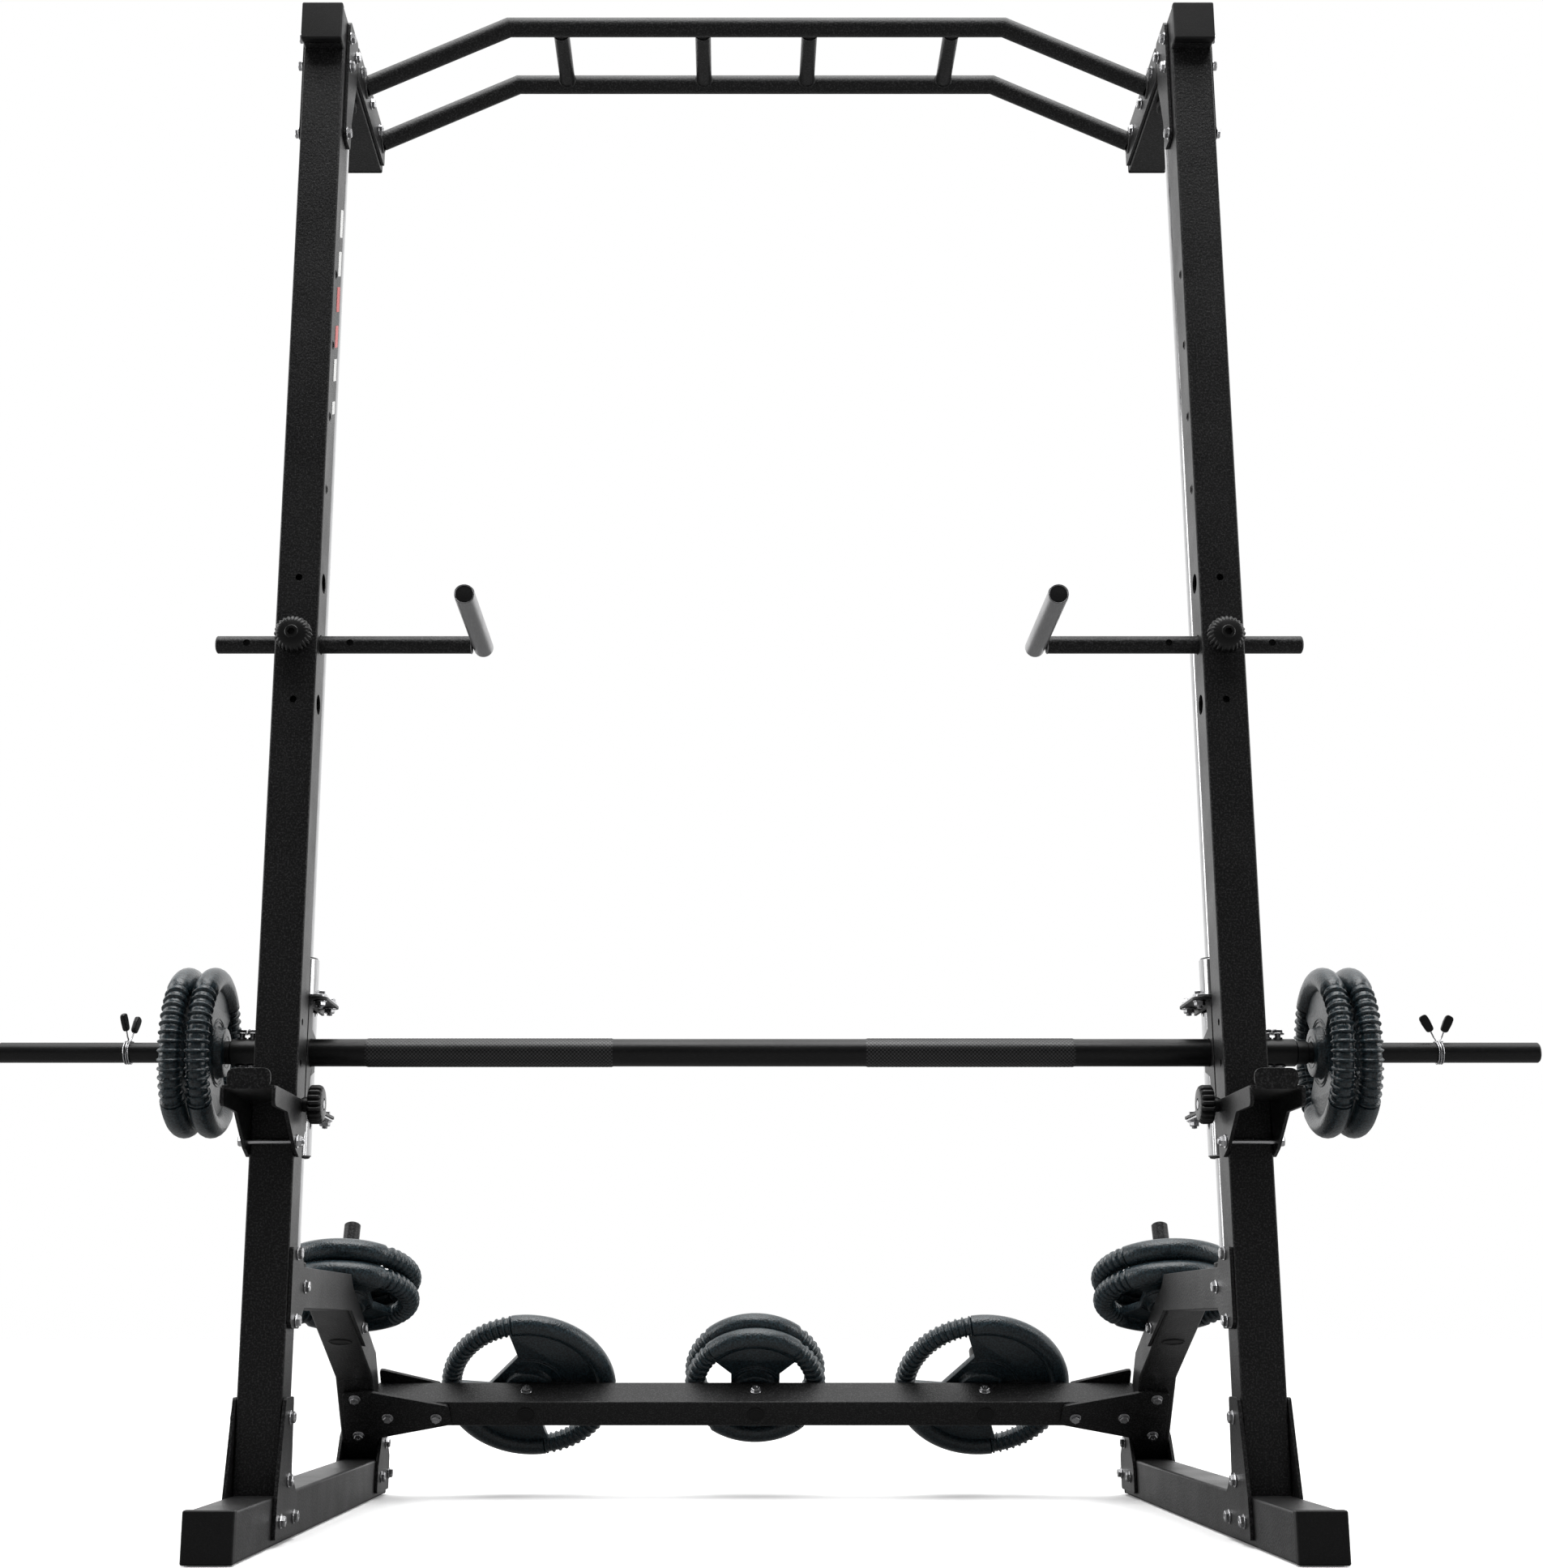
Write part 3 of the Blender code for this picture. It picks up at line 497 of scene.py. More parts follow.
def upright(side_name, side):
    """Tube with three cross holes, and small pin holes down its front and its inner face."""
    centre = side * SIDE_X
    into = 0.008               # how far a pin hole reaches past the tube's face
    sheer = 0.0001             # chamfer of a cutting rod
    mesh = mesh_of(straight_tube("upright_" + side_name, 2), ["powder"])
    tool = bmesh.new()
    for height in (1.122, 1.210, 1.301):
        rod(tool, at(centre - TUBE, 0, height), at(centre + TUBE, 0, height), 0.0142, 32, sheer)
        rod(tool, at(centre, -TUBE, height), at(centre, -TUBE / 2 + into, height), PIN_HOLE, 20, sheer)
    upper_rows = [1.440 + 0.112 * i for i in range(4)]
    catch_rows = [CATCH_PIN_Z + 0.0556 * i for i in range(3)]
    for height in upper_rows + catch_rows:
        rod(tool, at(side * (SIDE_X - TUBE), PIN_Y, height),
            at(side * (SIDE_X - TUBE / 2 + into), PIN_Y, height), PIN_HOLE, 20, sheer)
    place_piece("upright_shell_" + side_name, baked(mesh, tool), "frame", ("upright_" + side_name,))
    rims = bmesh.new()
    for height in upper_rows:
        face = at(side * (SIDE_X - TUBE / 2), PIN_Y, height)
        tube(rims, face, face - Vector((side * 0.0006, 0, 0)), 0.0066, PIN_HOLE, 24, 0.0002)
    make_piece("upright_hole_rims_" + side_name, rims, "powder", "frame")


def storage_peg(shape, base, way, near, tip, weld, disc):
    """A peg along `way`, from near to tip, with a disc let into its tip and a weld bead at its root."""
    rod(shape, base + way * near, base + way * tip, PEG_RADIUS, 40, 0.0015)
    lathe(shape, [(radius, tip + height) for radius, height in disc], frame_on(way, base), 32)
    lathe(shape, [(0.0128, 0.0035), (0.0142, 0.0028), (0.0160, 0.0012), (0.0172, -0.0005), (0.0128, -0.0005),
                  (0.0128, 0.0035)], frame_on(way, base + way * weld), 40)


def leg(side_name, side):
    """Bent tube from the upright down to the foot, with a storage peg through its middle stretch."""
    points = [at(side * SIDE_X, y, z) for y, z in LEG_PATH]
    steps = [(b - a).normalized() for a, b in zip(points, points[1:])]
    across = Vector((1, 0, 0))
    normals = [across.cross(step) * -1 for step in steps]
    stations = []
    for i, point in enumerate(points):
        before, after = normals[max(i - 1, 0)], normals[min(i, len(steps) - 1)]
        middle = (before + after).normalized()
        stations.append((point, across, middle / middle.dot(after)))
    shape = bmesh.new()
    hollow_section(shape, stations, TUBE / 2, BEAM_HALF)
    # the lower end is cut level where it stands on the foot
    floor = TUBE + GAP
    for vert in shape.verts:
        if vert.co.z < floor + 0.03 and vert.co.y > points[2].y:
            vert.co += steps[-1] * ((floor - vert.co.z) / steps[-1].z)
    # the peg leaves the middle stretch square to it
    axis = JOINT_AXIS[f"stored_leg_plate_{side_name}_lower_lift"]
    underside = points[1] - axis * BEAM_HALF
    slant = steps[1]
    base = underside + slant * ((at(0, LEG_PEG_Y, 0).y - underside.y) / slant.y)
    disc = ((0, -0.0005), (0.0105, -0.0005), (0.0105, 0.0005), (0.0095, 0.0012), (0, 0.0015))
    storage_peg(shape, base, axis, 0.002, 0.198, 2 * BEAM_HALF, disc)
    make_piece("leg_shell_" + side_name, shape, "powder", "frame", ("leg_" + side_name,))
    turned("leg_peg_plug_" + side_name, [(0.0100, 0), (0.0140, 0), (0.0135, 0.0010), (0.0118, 0.0012),
                                         (0.0108, 0.0004), (0.0095, 0.0004), (0, 0.0002)],
           [frame_on(-axis, base, (1, 0, 0)) @ Matrix.Diagonal((1.35, 0.80, 1, 1))], 40, "cap", "frame")


def guide_rod(side_name, side):
    """Chromed rod with a seat ring at each end."""
    low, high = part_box("guide_rod_" + side_name)
    centre, y = side * SIDE_X, (low.y + high.y) / 2
    shape = bmesh.new()
    rod(shape, (centre, y, low.z), (centre, y, high.z), 0.015, 48, 0.0008)
    make_piece("guide_rod_shaft_" + side_name, shape, "chrome", "frame", ("guide_rod_" + side_name,))
    turned("guide_rod_seats_" + side_name,
           [(0.0152, 0), (0.0230, 0), (0.0238, 0.0010), (0.0238, 0.0105), (0.0225, 0.0120), (0.0165, 0.0135),
            (0.0152, 0.0130), (0.0152, 0)],
           [frame_on((0, 0, 1), (centre, y, low.z)), frame_on((0, 0, -1), (centre, y, high.z))],
           48, "cap", "frame")


def frame_side(side_name, side):
    """Everything that is bolted together round one upright."""
    upright(side_name, side)
    leg(side_name, side)
    grow = 0.0008              # a rear plug's flange stands this far past the tube
    for kind in ("foot", "top_tube"):
        node = f"{kind}_{side_name}"
        make_piece(node + "_shell", straight_tube(node, 1), "powder", "frame", (node,))
        low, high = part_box(node)
        end_cap(node + "_rear_plug", (low.x - grow, high.y + GAP, max(low.z - grow, 0)),
                (high.x + grow, high.y + 0.006, high.z + grow))
    for kind in ("foot_cap", "top_cap"):
        low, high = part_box(f"{kind}_{side_name}")
        end_cap(f"{kind}_shell_{side_name}", low, high, (f"{kind}_{side_name}",))
    both = (("", (0, 0, 0)), ("_outer", (side * (TUBE + 2 * GAP + SHEET), 0, 0)))
    for kind in ("top_gusset", "foot_gusset", "rear_bracket"):
        bracket_plate(f"{kind}_{side_name}", both)
    bracket_plate("leg_bracket_" + side_name)
    through_bolts("top_gusset_bolts_" + side_name, side,
                  ((-0.006, 2.168), (0.0435, 2.166), (-0.0025, 2.123), (-0.0045, 2.010)))
    through_bolts("leg_bracket_bolts_" + side_name, side,
                  ((0.0035, 0.366), (0.0633, 0.3236), (0.0084, 0.279), (0.5666, 0.270)), outer=False)
    through_bolts("foot_gusset_bolts_" + side_name, side,
                  ((0.001, 0.156), (0.006, 0.077), (-0.035, 0.029), (0.0525, 0.0287)))
    through_bolts("rear_bracket_bolts_" + side_name, side, ((0.811, 0.032), (0.893, 0.0335), (0.853, 0.084)))
    guide_rod(side_name, side)


def crossmember():
    """Tilted square tube behind the uprights, with three storage pegs and two gussets on each end."""
    back = JOINT_AXIS["stored_cross_plate_left_lift"].normalized()
    down = Vector((0, back.z, -back.y))
    low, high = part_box("crossmember")
    middle = (low + high) / 2
    half = BEAM_HALF
    shape = bmesh.new()
    ends = [(Vector((x, middle.y, middle.z)), back, down) for x in (low.x, high.x)]
    hollow_section(shape, ends, half, half)
    make_piece("crossmember_shell", shape, "powder", "frame", ("crossmember",))
    disc = ((0, -0.0007), (0.0105, -0.0007), (0.0100, 0.0005), (0.0092, 0.0008), (0, 0.0009))
    heads = []
    for name, x in (("left", -0.376), ("centre", 0.0), ("right", 0.376)):
        base = middle - back * half + Vector((x, 0, 0))
        peg = bmesh.new()
        storage_peg(peg, base, back, 0.001, 0.1557, 2 * half, disc)
        make_piece("cross_peg_shaft_" + name, peg, "powder", "frame", ("cross_peg_" + name,))
        turned("cross_peg_plug_" + name,
               [(0.0105, -0.0002), (0.0150, -0.0002), (0.0146, 0.0010), (0.0126, 0.0013), (0.0114, 0.0004),
                (0.0100, 0.0004), (0, 0.0003)], [frame_on(-back, base)], 40, "cap", "frame")
        heads.append((middle - down * half + Vector((x, 0, 0)) + back * 0.004, -down))
    fasteners("cross_peg_bolts", "frame", heads)
    # bolts and rear plates as (X, distance down from the tube's upper edge)
    places = ((0.652, -0.0125), (0.651, 0.0645), (0.601, 0.027), (0.522, 0.0275))
    outline = ((0.6185, -0.026), (0.520, 0.004), (0.516, 0.041), (0.6185, 0.074))
    face = middle - (back + down) * half - back * (GAP + SHEET)
    rear = middle + back * (half + GAP + SHEET / 2) - down * half
    for side_name, side in SIDES:
        bracket_plate("cross_gusset_" + side_name)
        fasteners("cross_gusset_bolts_" + side_name, "frame",
                  [(face + Vector((side * x, 0, 0)) + down * s, -back) for x, s in places])
        plate = frame_on(back, rear, (side, 0, 0))
        flip = 1 if (plate.to_3x3() @ Vector((0, 1, 0))).dot(down) > 0 else -1
        shape = bmesh.new()
        slab(shape, fillet([(x, flip * s) for x, s in outline], PLATE_CORNER), plate, SHEET)
        make_piece("cross_gusset_rear_" + side_name, shape, "powder", "frame")
        nuts = [(rear + back * SHEET / 2 + Vector((side * x, 0, 0)) + down * s, back) for x, s in places[2:]]
        fasteners("cross_gusset_rear_nuts_" + side_name, "frame", nuts=nuts)


def mitred_rod(shape, route, radius):
    """A round bar with sharp mitred bends and flat ends."""
    ways = [(b - a).normalized() for a, b in zip(route, route[1:])]
    plane = Vector((0, 1, 0))
    rings = []
    for i, point in enumerate(route):
        before, after = ways[max(i - 1, 0)], ways[min(i, len(ways) - 1)]
        cut = (before + after).normalized()
        side = cut.cross(plane).normalized() / cut.dot(after)
        rings.append([shape.verts.new(point + radius * (plane * math.cos(a) + side * math.sin(a)))
                      for a in turn(44)])
    skin(shape, rings)
    close_ends(shape, rings)


def weld_ring(shape, place, radius, size=0.0028, steps=40):
    inner = radius - 0.0004
    lathe(shape, [(inner, -0.0005), (radius + size, -0.0005), (radius + size * 0.8, size * 0.55),
                  (radius + size * 0.35, size * 0.95), (inner, size * 1.1), (inner, -0.0005)], place, steps)


def pull_up_frame():
    """Two bent bars joined by four rungs, welded to a bolted plate at each end."""
    end_x = INNER_FACE
    bend_x, top_z, end_z = 0.3932, 2.279, 2.173
    front_y, rear_y = 0.140, 0.309
    low_z, high_z = 2.143, 2.196                     # of the end plates
    shape = bmesh.new()
    for y in (front_y, rear_y):
        mitred_rod(shape, [at(-end_x, y, end_z + 0.001), at(-bend_x, y, top_z), at(bend_x, y, top_z),
                           at(end_x, y, end_z + 0.001)], 0.015)
        for way in (-1, 1):
            weld_ring(shape, frame_on((-way, 0, 0), at(way * end_x, y, end_z)), 0.0153, 0.003)
    for x in (-0.311, -0.085, 0.085, 0.311):
        rod(shape, at(x, front_y + 0.006, top_z), at(x, rear_y - 0.006, top_z), 0.0125, 36, 0.0003)
        for y, way in ((front_y + 0.0145, 1), (rear_y - 0.0145, -1)):
            weld_ring(shape, frame_on((0, way, 0), at(x, y, top_z)), 0.0126, 0.0022, 32)
    outline = fillet(rectangle(0.062, low_z, 0.336, high_z), PLATE_CORNER)
    for way in (-1, 1):
        slab(shape, outline, side_plane(way * (end_x + SHEET / 2)), SHEET)
    make_piece("pull_up_bars", shape, "powder", "frame", ("pull_up_frame",), sharp=20)
    bolt_rows = (0.0955, 0.1886, 0.2689)
    for side_name, side in SIDES:
        heads = [(at(side * end_x, y, end_z), (-side, 0, 0)) for y in bolt_rows]
        nuts = [(at(side * (SIDE_X + TUBE / 2), y, end_z), (side, 0, 0)) for y in bolt_rows]
        fasteners("pull_up_bolts_" + side_name, "frame", heads, nuts)


def sticker():
    """Plain slanted stripes where the maker's sticker sits on the left upright's inner face."""
    bars = ((0, 1.842, 0.055), (0, 1.779, 0.050), (1, 1.722, 0.050), (1, 1.665, 0.045), (0, 1.612, 0.045),
            (0, 1.560, 0.030))
    near_y, far_y, rise = 0.0015, 0.0215, 0.010
    place = side_plane(0.00025 - (SIDE_X - TUBE / 2))
    shape = bmesh.new()
    for look_number, low_z, length in bars:
        before = len(shape.faces)
        high_z = low_z + length
        outline = ((near_y, low_z), (far_y, low_z + rise), (far_y, high_z), (near_y, high_z - rise))
        slab(shape, fillet(outline, 0.002), place, 0.0004, 0.0001)
        mark(shape, before, look_number)
    make_piece("sticker_stripes_left", shape, ["white_film", "red_film"], "frame")


# ---- carriage and bar ----
def cheek_window(node, side):
    """The opening in a bracket's inner cheek: behind the bar's lug, so that the sleeve shows."""
    low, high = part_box(node)
    front, lug, rear = 0.066, 0.095, 0.160          # Y from the datum
    margin = 0.012                                   # left above and below
    root, neck = 0.033, 0.024                        # half heights of the lug
    outline = rectangle(front, low.z + margin, rear, high.z - margin)
    outline += [(front, BAR_Z + root), (lug, BAR_Z + neck), (lug, BAR_Z - neck), (front, BAR_Z - root)]
    window = bmesh.new()
    ends = [[window.verts.new(at(side * x, y, z)) for y, z in outline]
            for x in (SIDE_X - TUBE / 2 - 0.001, SIDE_X - TUBE / 2 + 0.006)]
    skin(window, ends)
    close_ends(window, ends)
    return window


def carriage_bracket(side_name, side):
    """The folded bracket, with its tip rounded and all its edges eased."""
    node = "carriage_bracket_" + side_name
    low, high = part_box(node)
    tip_x = low.x if side > 0 else high.x
    shape = bmesh.new()
    shape.from_mesh(baked(mesh_of(plain_shape(node), ["powder"]), cheek_window(node, side)))
    bmesh.ops.remove_doubles(shape, verts=shape.verts, dist=MERGE)
    corners = [e for e in shape.edges if all(abs(v.co.x - tip_x) < 1e-5 for v in e.verts)
               and abs(e.verts[0].co.z - e.verts[1].co.z) > 0.003]
    bmesh.ops.bevel(shape, geom=corners, offset=0.014, segments=6, profile=0.5, affect="EDGES")
    edges = [e for e in shape.edges if len(e.link_faces) == 2 and e.calc_face_angle(0) > math.radians(40)]
    bmesh.ops.bevel(shape, geom=edges, offset=0.0006, segments=2, profile=0.5, affect="EDGES")
    make_piece(node + "_sheet", shape, "powder", "carriage", (node,))
    return low, high, tip_x


def carriage_side(side_name, side):
    """Sleeve with its bushes, bracket, cover plates above and below, and the bolts through them."""
    centre = side * SIDE_X
    low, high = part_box("slider_sleeve_" + side_name)
    y = (low.y + high.y) / 2
    shape = bmesh.new()
    tube(shape, (centre, y, low.z), (centre, y, high.z), 0.0245, 0.0156, 56, 0.0010)
    make_piece("sleeve_tube_" + side_name, shape, "chrome", "carriage", ("slider_sleeve_" + side_name,))
    turned("sleeve_bushes_" + side_name, [(0.0156, 0), (0.0225, 0), (0.0225, 0.0012), (0.0215, 0.0022),
                                          (0.0165, 0.0022), (0.0156, 0.0014), (0.0156, 0)],
           [frame_on((0, 0, -1), (centre, y, low.z)), frame_on((0, 0, 1), (centre, y, high.z))],
           48, "cap", "carriage")
    low, high, tip_x = carriage_bracket(side_name, side)
    cover, inset = 0.003, 0.002
    near_x, far_x = tip_x + side * inset, centre + side * (TUBE / 2 - 0.001)
    outline = fillet(rectangle(near_x, low.y + inset, far_x, high.y - inset), 0.014, 6)
    covers = bmesh.new()
    for level in (high.z + cover / 2, low.z - cover / 2):
        slab(covers, outline, Matrix.Translation((0, 0, level)), cover, 0.0005)
    make_piece("carriage_covers_" + side_name, covers, "zinc", "carriage")
    ear = 0.004
    places = [(centre - side * 0.0405, low.y + offset) for offset in (0.020, 0.096)]
    heads = [((px, py, z), (0, 0, 1)) for z in (high.z + cover, low.z + ear) for px, py in places]
    nuts = [((px, py, z), (0, 0, -1)) for z in (high.z - ear, low.z - cover) for px, py in places]
    fasteners("carriage_bolts_" + side_name, "carriage", heads, nuts)


def knurled_band(shape, start_x, end_x, radius):
    """Knurling round the grip tube: points raised in a chequer, their faces in the two looks by turns; the
    lighter look is a painted highlight on the raised points.
    """
    around, pitch, height = 22, 0.0027, 0.0009
    count = int(round((end_x - start_x) / pitch))
    rings = []
    for i in range(count + 1):
        x = start_x + (end_x - start_x) * i / count
        ring = []
        for k, angle in enumerate(turn(around * 2)):
            raised = radius + (height if (i + k) % 2 == 0 and 0 < i < count else 0.00002)
            ring.append(shape.verts.new((x, bar_centre.y + raised * math.cos(angle),
                                         BAR_Z + raised * math.sin(angle))))
        rings.append(ring)
    before = len(shape.faces)
    skin(shape, rings)
    shape.faces.ensure_lookup_table()
    for face in shape.faces[before:]:
        centre = face.calc_center_median()
        angle = math.atan2(centre.z - BAR_Z, centre.y - bar_centre.y) % (2 * math.pi)
        cell = int((centre.x - start_x) / (end_x - start_x) * count) + int(angle / math.pi * around)
        # painted highlight: every other facet takes the lighter second look
        face.material_index = cell % 2
    close_ends(shape, rings)


def bar():
    """The lifting bar: shaft, knurled grip tube, stop rings, and the bolts that clamp it in the lugs."""
    low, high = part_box("bar_rod")
    grip_low, grip_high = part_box("bar_grip_tube")
    shape = bmesh.new()
    half_profile = ((0, 0), (0.0115, 0), (0.0125, 0.0004), (BAR_RADIUS, 0.0022))
    profile = [(r, low.x + inset) for r, inset in half_profile]
    profile += [(r, high.x - inset) for r, inset in reversed(half_profile)]
    lathe(shape, profile, side_plane(0, bar_centre.y, BAR_Z), 56)
    make_piece("bar_shaft", shape, "bar", "bar", ("bar_rod",))
    shape = bmesh.new()
    grip = 0.0190
    start, end = [(x, bar_centre.y, BAR_Z) for x in (grip_low.x, grip_high.x)]
    tube(shape, start, end, grip, 0.0143, 56, 0.0012)
    knurled_band(shape, -0.545, -0.203, grip)
    knurled_band(shape, 0.146, 0.435, grip)
    # the second look paints highlights on the knurl's raised points
    make_piece("bar_grip_sleeve", shape, ["bar", "crest_highlight"], "bar", ("bar_grip_tube",), sharp=60)
    for side_name, side, edge in (("left", -1, grip_low.x), ("right", 1, grip_high.x)):
        ring = bmesh.new()
        tube(ring, (edge + side * GAP, bar_centre.y, BAR_Z), (edge + side * 0.0165, bar_centre.y, BAR_Z),
             0.0160, 0.0141, 48, 0.0010)
        make_piece("bar_stop_ring_" + side_name, ring, "bar", "bar")
        pair = [side * 0.7105 + offset for offset in (-0.0075, 0.0075)]
        fasteners("bar_clamp_bolts_" + side_name, "bar",
                  [((x, bar_centre.y, BAR_Z + 0.0250), (0, 0, 1)) for x in pair],
                  [((x, bar_centre.y, BAR_Z - 0.0182), (0, 0, -1)) for x in pair])
        turned("bar_clamp_spacers_" + side_name,
               [(0, 0.0180), (0.0066, 0.0180), (0.0066, 0.0205), (0.0040, 0.0215), (0.0040, 0.0252),
                (0, 0.0252)],
               [frame_on((0, 0, 1), (x, bar_centre.y, BAR_Z)) for x in pair], 24, "zinc", "bar")


def spring_collar(side_name, facing):
    """Three turns of plated wire whose two ends stand up in a V and carry black finger tabs.

    facing turns the V about the vertical: the left collar's tabs stand almost one behind the other.
    """
    node = "spring_collar_" + side_name
    low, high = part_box(node)
    middle = Vector(((low.x + high.x) / 2, bar_centre.y, BAR_Z))
    wire = 0.0011
    coil_radius = BAR_RADIUS + GAP + wire
    turns, count, pitch = 3.1, 120, 0.0031
    spread = Vector((math.cos(facing), math.sin(facing), 0))
    start = math.radians(90 - 18)
    coil = []
    for i in range(count + 1):
        t = i / count
        angle = start + 2 * math.pi * turns * t
        coil.append(middle + Vector(((t - 0.5) * pitch * turns, coil_radius * math.cos(angle),
                                     coil_radius * math.sin(angle))))
    legs = [[middle + spread * way * reach + Vector((0, 0, height))
             for reach, height in ((0.0030, 0.0175), (0.0060, 0.0215), (0.0098, 0.0300))] for way in (-1, 1)]
    shape = bmesh.new()
    sweep(shape, legs[0][::-1] + coil + legs[1], wire)
    before = len(shape.faces)
    half_tab = ((0.0052, -0.0125), (0.0064, 0.0020), (0.0058, 0.0125))
    tab = fillet(half_tab + tuple((-x, z) for x, z in reversed(half_tab)), 0.0052, 6)
    for way in (-1, 1):
        place = (Matrix.Translation(middle + spread * way * 0.0150 + Vector((0, 0, 0.0402)))
                 @ Matrix.Rotation(facing, 4, "Z") @ Matrix.Rotation(way * math.radians(28), 4, "Y"))
        slab(shape, tab, place @ frame_on((0, -1, 0)), 0.0062, 0.0016)
    mark(shape, before, 1)
    make_piece("collar_spring_" + side_name, shape, ["zinc", "knob"], node, (node,))


# ---- weight plates ----
RIM = 0.017                # radius of the rim's section
RIB_DEPTH = 0.0034
BORE = 0.0148
WEB = 0.006                # half the thickness of the web
HALF_HUB = 0.018


def rib_height(t):
    """Height of the hand grip over one pitch, from -1 in the groove to 0 on the ridge."""
    if t < 0.56:
        return -1 + 0.22 * math.sin(math.pi * t / 0.56)
    return -1 + math.sin(math.pi * (t - 0.56) / 0.44) ** 0.8


def plate_rim(shape, ring_radius, ribs, half_span):
    """A round ring whose section is thinned into grooves along two grips, one on each side."""
    steps, smooth_steps, around = ribs * 14, 26, 20
    smooth_span = math.pi - 2 * half_span
    samples = []                       # (angle round the plate, radius of the section)
    for middle in (0.0, math.pi):
        for i in range(steps):
            t = i / steps
            thick = RIM + RIB_DEPTH * rib_height((t * ribs) % 1)
            samples.append((middle - half_span + 2 * half_span * t, thick))
        start = middle + half_span
        samples += [(start, RIM - 0.0030), (start + 0.008, RIM)]
        samples += [(start + smooth_span * i / smooth_steps, RIM) for i in range(1, smooth_steps)]
    rings = []
    for angle, thick in samples:
        out = Vector((math.cos(angle), math.sin(angle), 0))
        rings.append([shape.verts.new(out * (ring_radius + thick * math.cos(a))
                                      + Vector((0, 0, thick * math.sin(a)))) for a in turn(around)])
    skin(shape, rings, closed=True)


def plate_web(shape, inner, chord, span):
    """A disc with a bore and two hand openings, each an arc along the rim and a straight side at chord."""
    bevel = 0.0012
    reach = inner + 0.0030
    outlines = [[(radius * math.cos(a), radius * math.sin(a)) for a in turn(count)]
                for radius, count in ((inner + 0.009, 96), (BORE * 1.15, 48))]
    for way in (1, -1):
        arc = [(way * reach * math.cos(a), way * reach * math.sin(a))
               for a in (span * (k / 12 - 1) for k in range(25))]
        outlines.append(arc + [(way * chord, way * chord * 0.75), (way * chord, -way * chord * 0.75)])
    curve = bpy.data.curves.new("web", "CURVE")
    curve.dimensions = "2D"
    curve.fill_mode = "BOTH"
    curve.extrude = WEB - bevel
    curve.bevel_depth = bevel
    curve.bevel_resolution = 2
    curve.offset = -bevel
    for points in outlines:
        spline = curve.splines.new("POLY")
        spline.points.add(len(points) - 1)
        for target, (px, py) in zip(spline.points, points):
            target.co = (px, py, 0, 1)
        spline.use_cyclic_u = True
    mesh = result_of(bpy.data.objects.new("web", curve))
    web = bmesh.new()
    web.from_mesh(mesh)
    bmesh.ops.remove_doubles(web, verts=web.verts, dist=MERGE)
    add_to(shape, web)
    bpy.data.meshes.remove(mesh)


def plate_hub(shape, hub):
    """A turned hub, the same on both faces, with a shallow groove round its bore."""
    top = HALF_HUB
    face = [(BORE, top - 0.0012), (BORE + 0.0012, top), (0.0205, top), (0.0210, top - 0.0006),
            (0.0222, top - 0.0006), (0.0227, top), (hub - 0.0028, top), (hub - 0.0008, top - 0.0009),
            (hub, top - 0.0030), (hub + 0.0012, WEB + 0.0024), (hub + 0.0036, WEB - 0.0004)]
    lathe(shape, face + [(r, -h) for r, h in reversed(face)] + [face[0]], Matrix.Identity(4), 64)


def web_ring(shape, ring, size, chord):
    """A raised round line on both faces of the web, broken where it would cross the openings."""
    limit = math.acos(min(1, (chord - 0.0022) / ring)) if ring > chord else 0
    for side in (1, -1):
        for level in (WEB, -WEB):
            arc = [(ring * math.cos(a), ring * math.sin(a), level)
                   for a in (side * (limit + (math.pi - 2 * limit) * k / 40) for k in range(41))]
            sweep(shape, arc, size, 8)


def plate_mesh(radius, hub, ribs, grip_half, opening_half, ring_gap):
    """Thick round rim with two ribbed grips, a web with two hand openings, and a hub with raised rings.

    grip_half and opening_half are half angles in degrees. ring_gap is from the hub to its first ring.
    """
    inner = radius - 2 * RIM
    chord = inner * 0.48
    shape = bmesh.new()
    plate_rim(shape, radius - RIM, ribs, math.radians(grip_half))
    plate_web(shape, inner, chord, math.radians(opening_half))
    plate_hub(shape, hub)
    for ring, size in ((hub + ring_gap, 0.0014), (hub + ring_gap + 0.0040, 0.0011)):
        if ring <= inner - 0.004:
            web_ring(shape, ring, size, chord)
    return mesh_of(shape, ["plate"], f"plate_{int(radius * 1000)}")


def weight_plate(node, source, axis, across):
    low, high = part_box(node)
    mesh = source.copy()
    mesh.transform(frame_on(axis, (low + high) / 2, across))
    place_piece(node + "_casting", mesh, node, (node,), 38, flat=False)


def all_plates():
    """A casting for each plate: large on the crossmember's outer pegs, and small everywhere else."""
    small = plate_mesh(0.1175, hub=0.034, ribs=14, grip_half=47, opening_half=40, ring_gap=0.0085)
    large = plate_mesh(0.145, hub=0.040, ribs=17, grip_half=40, opening_half=36, ring_gap=0.0180)
    for node in sorted(frame["nodes"]):
        if node.startswith("bar_plate"):
            weight_plate(node, small, (1, 0, 0), (0, 1, 0))
        elif node.startswith(("stored_leg_plate", "stored_cross_plate_centre")):
            weight_plate(node, small, JOINT_AXIS[node + "_lift"], (1, 0, 0))
        elif node.startswith("stored_cross_plate"):
            axis = JOINT_AXIS[node + "_lift"].normalized()
            down = Vector((0, axis.z, -axis.y))
            lean = math.radians(40)
            weight_plate(node, large, axis, Vector((math.cos(lean), 0, 0)) + down * math.sin(lean))


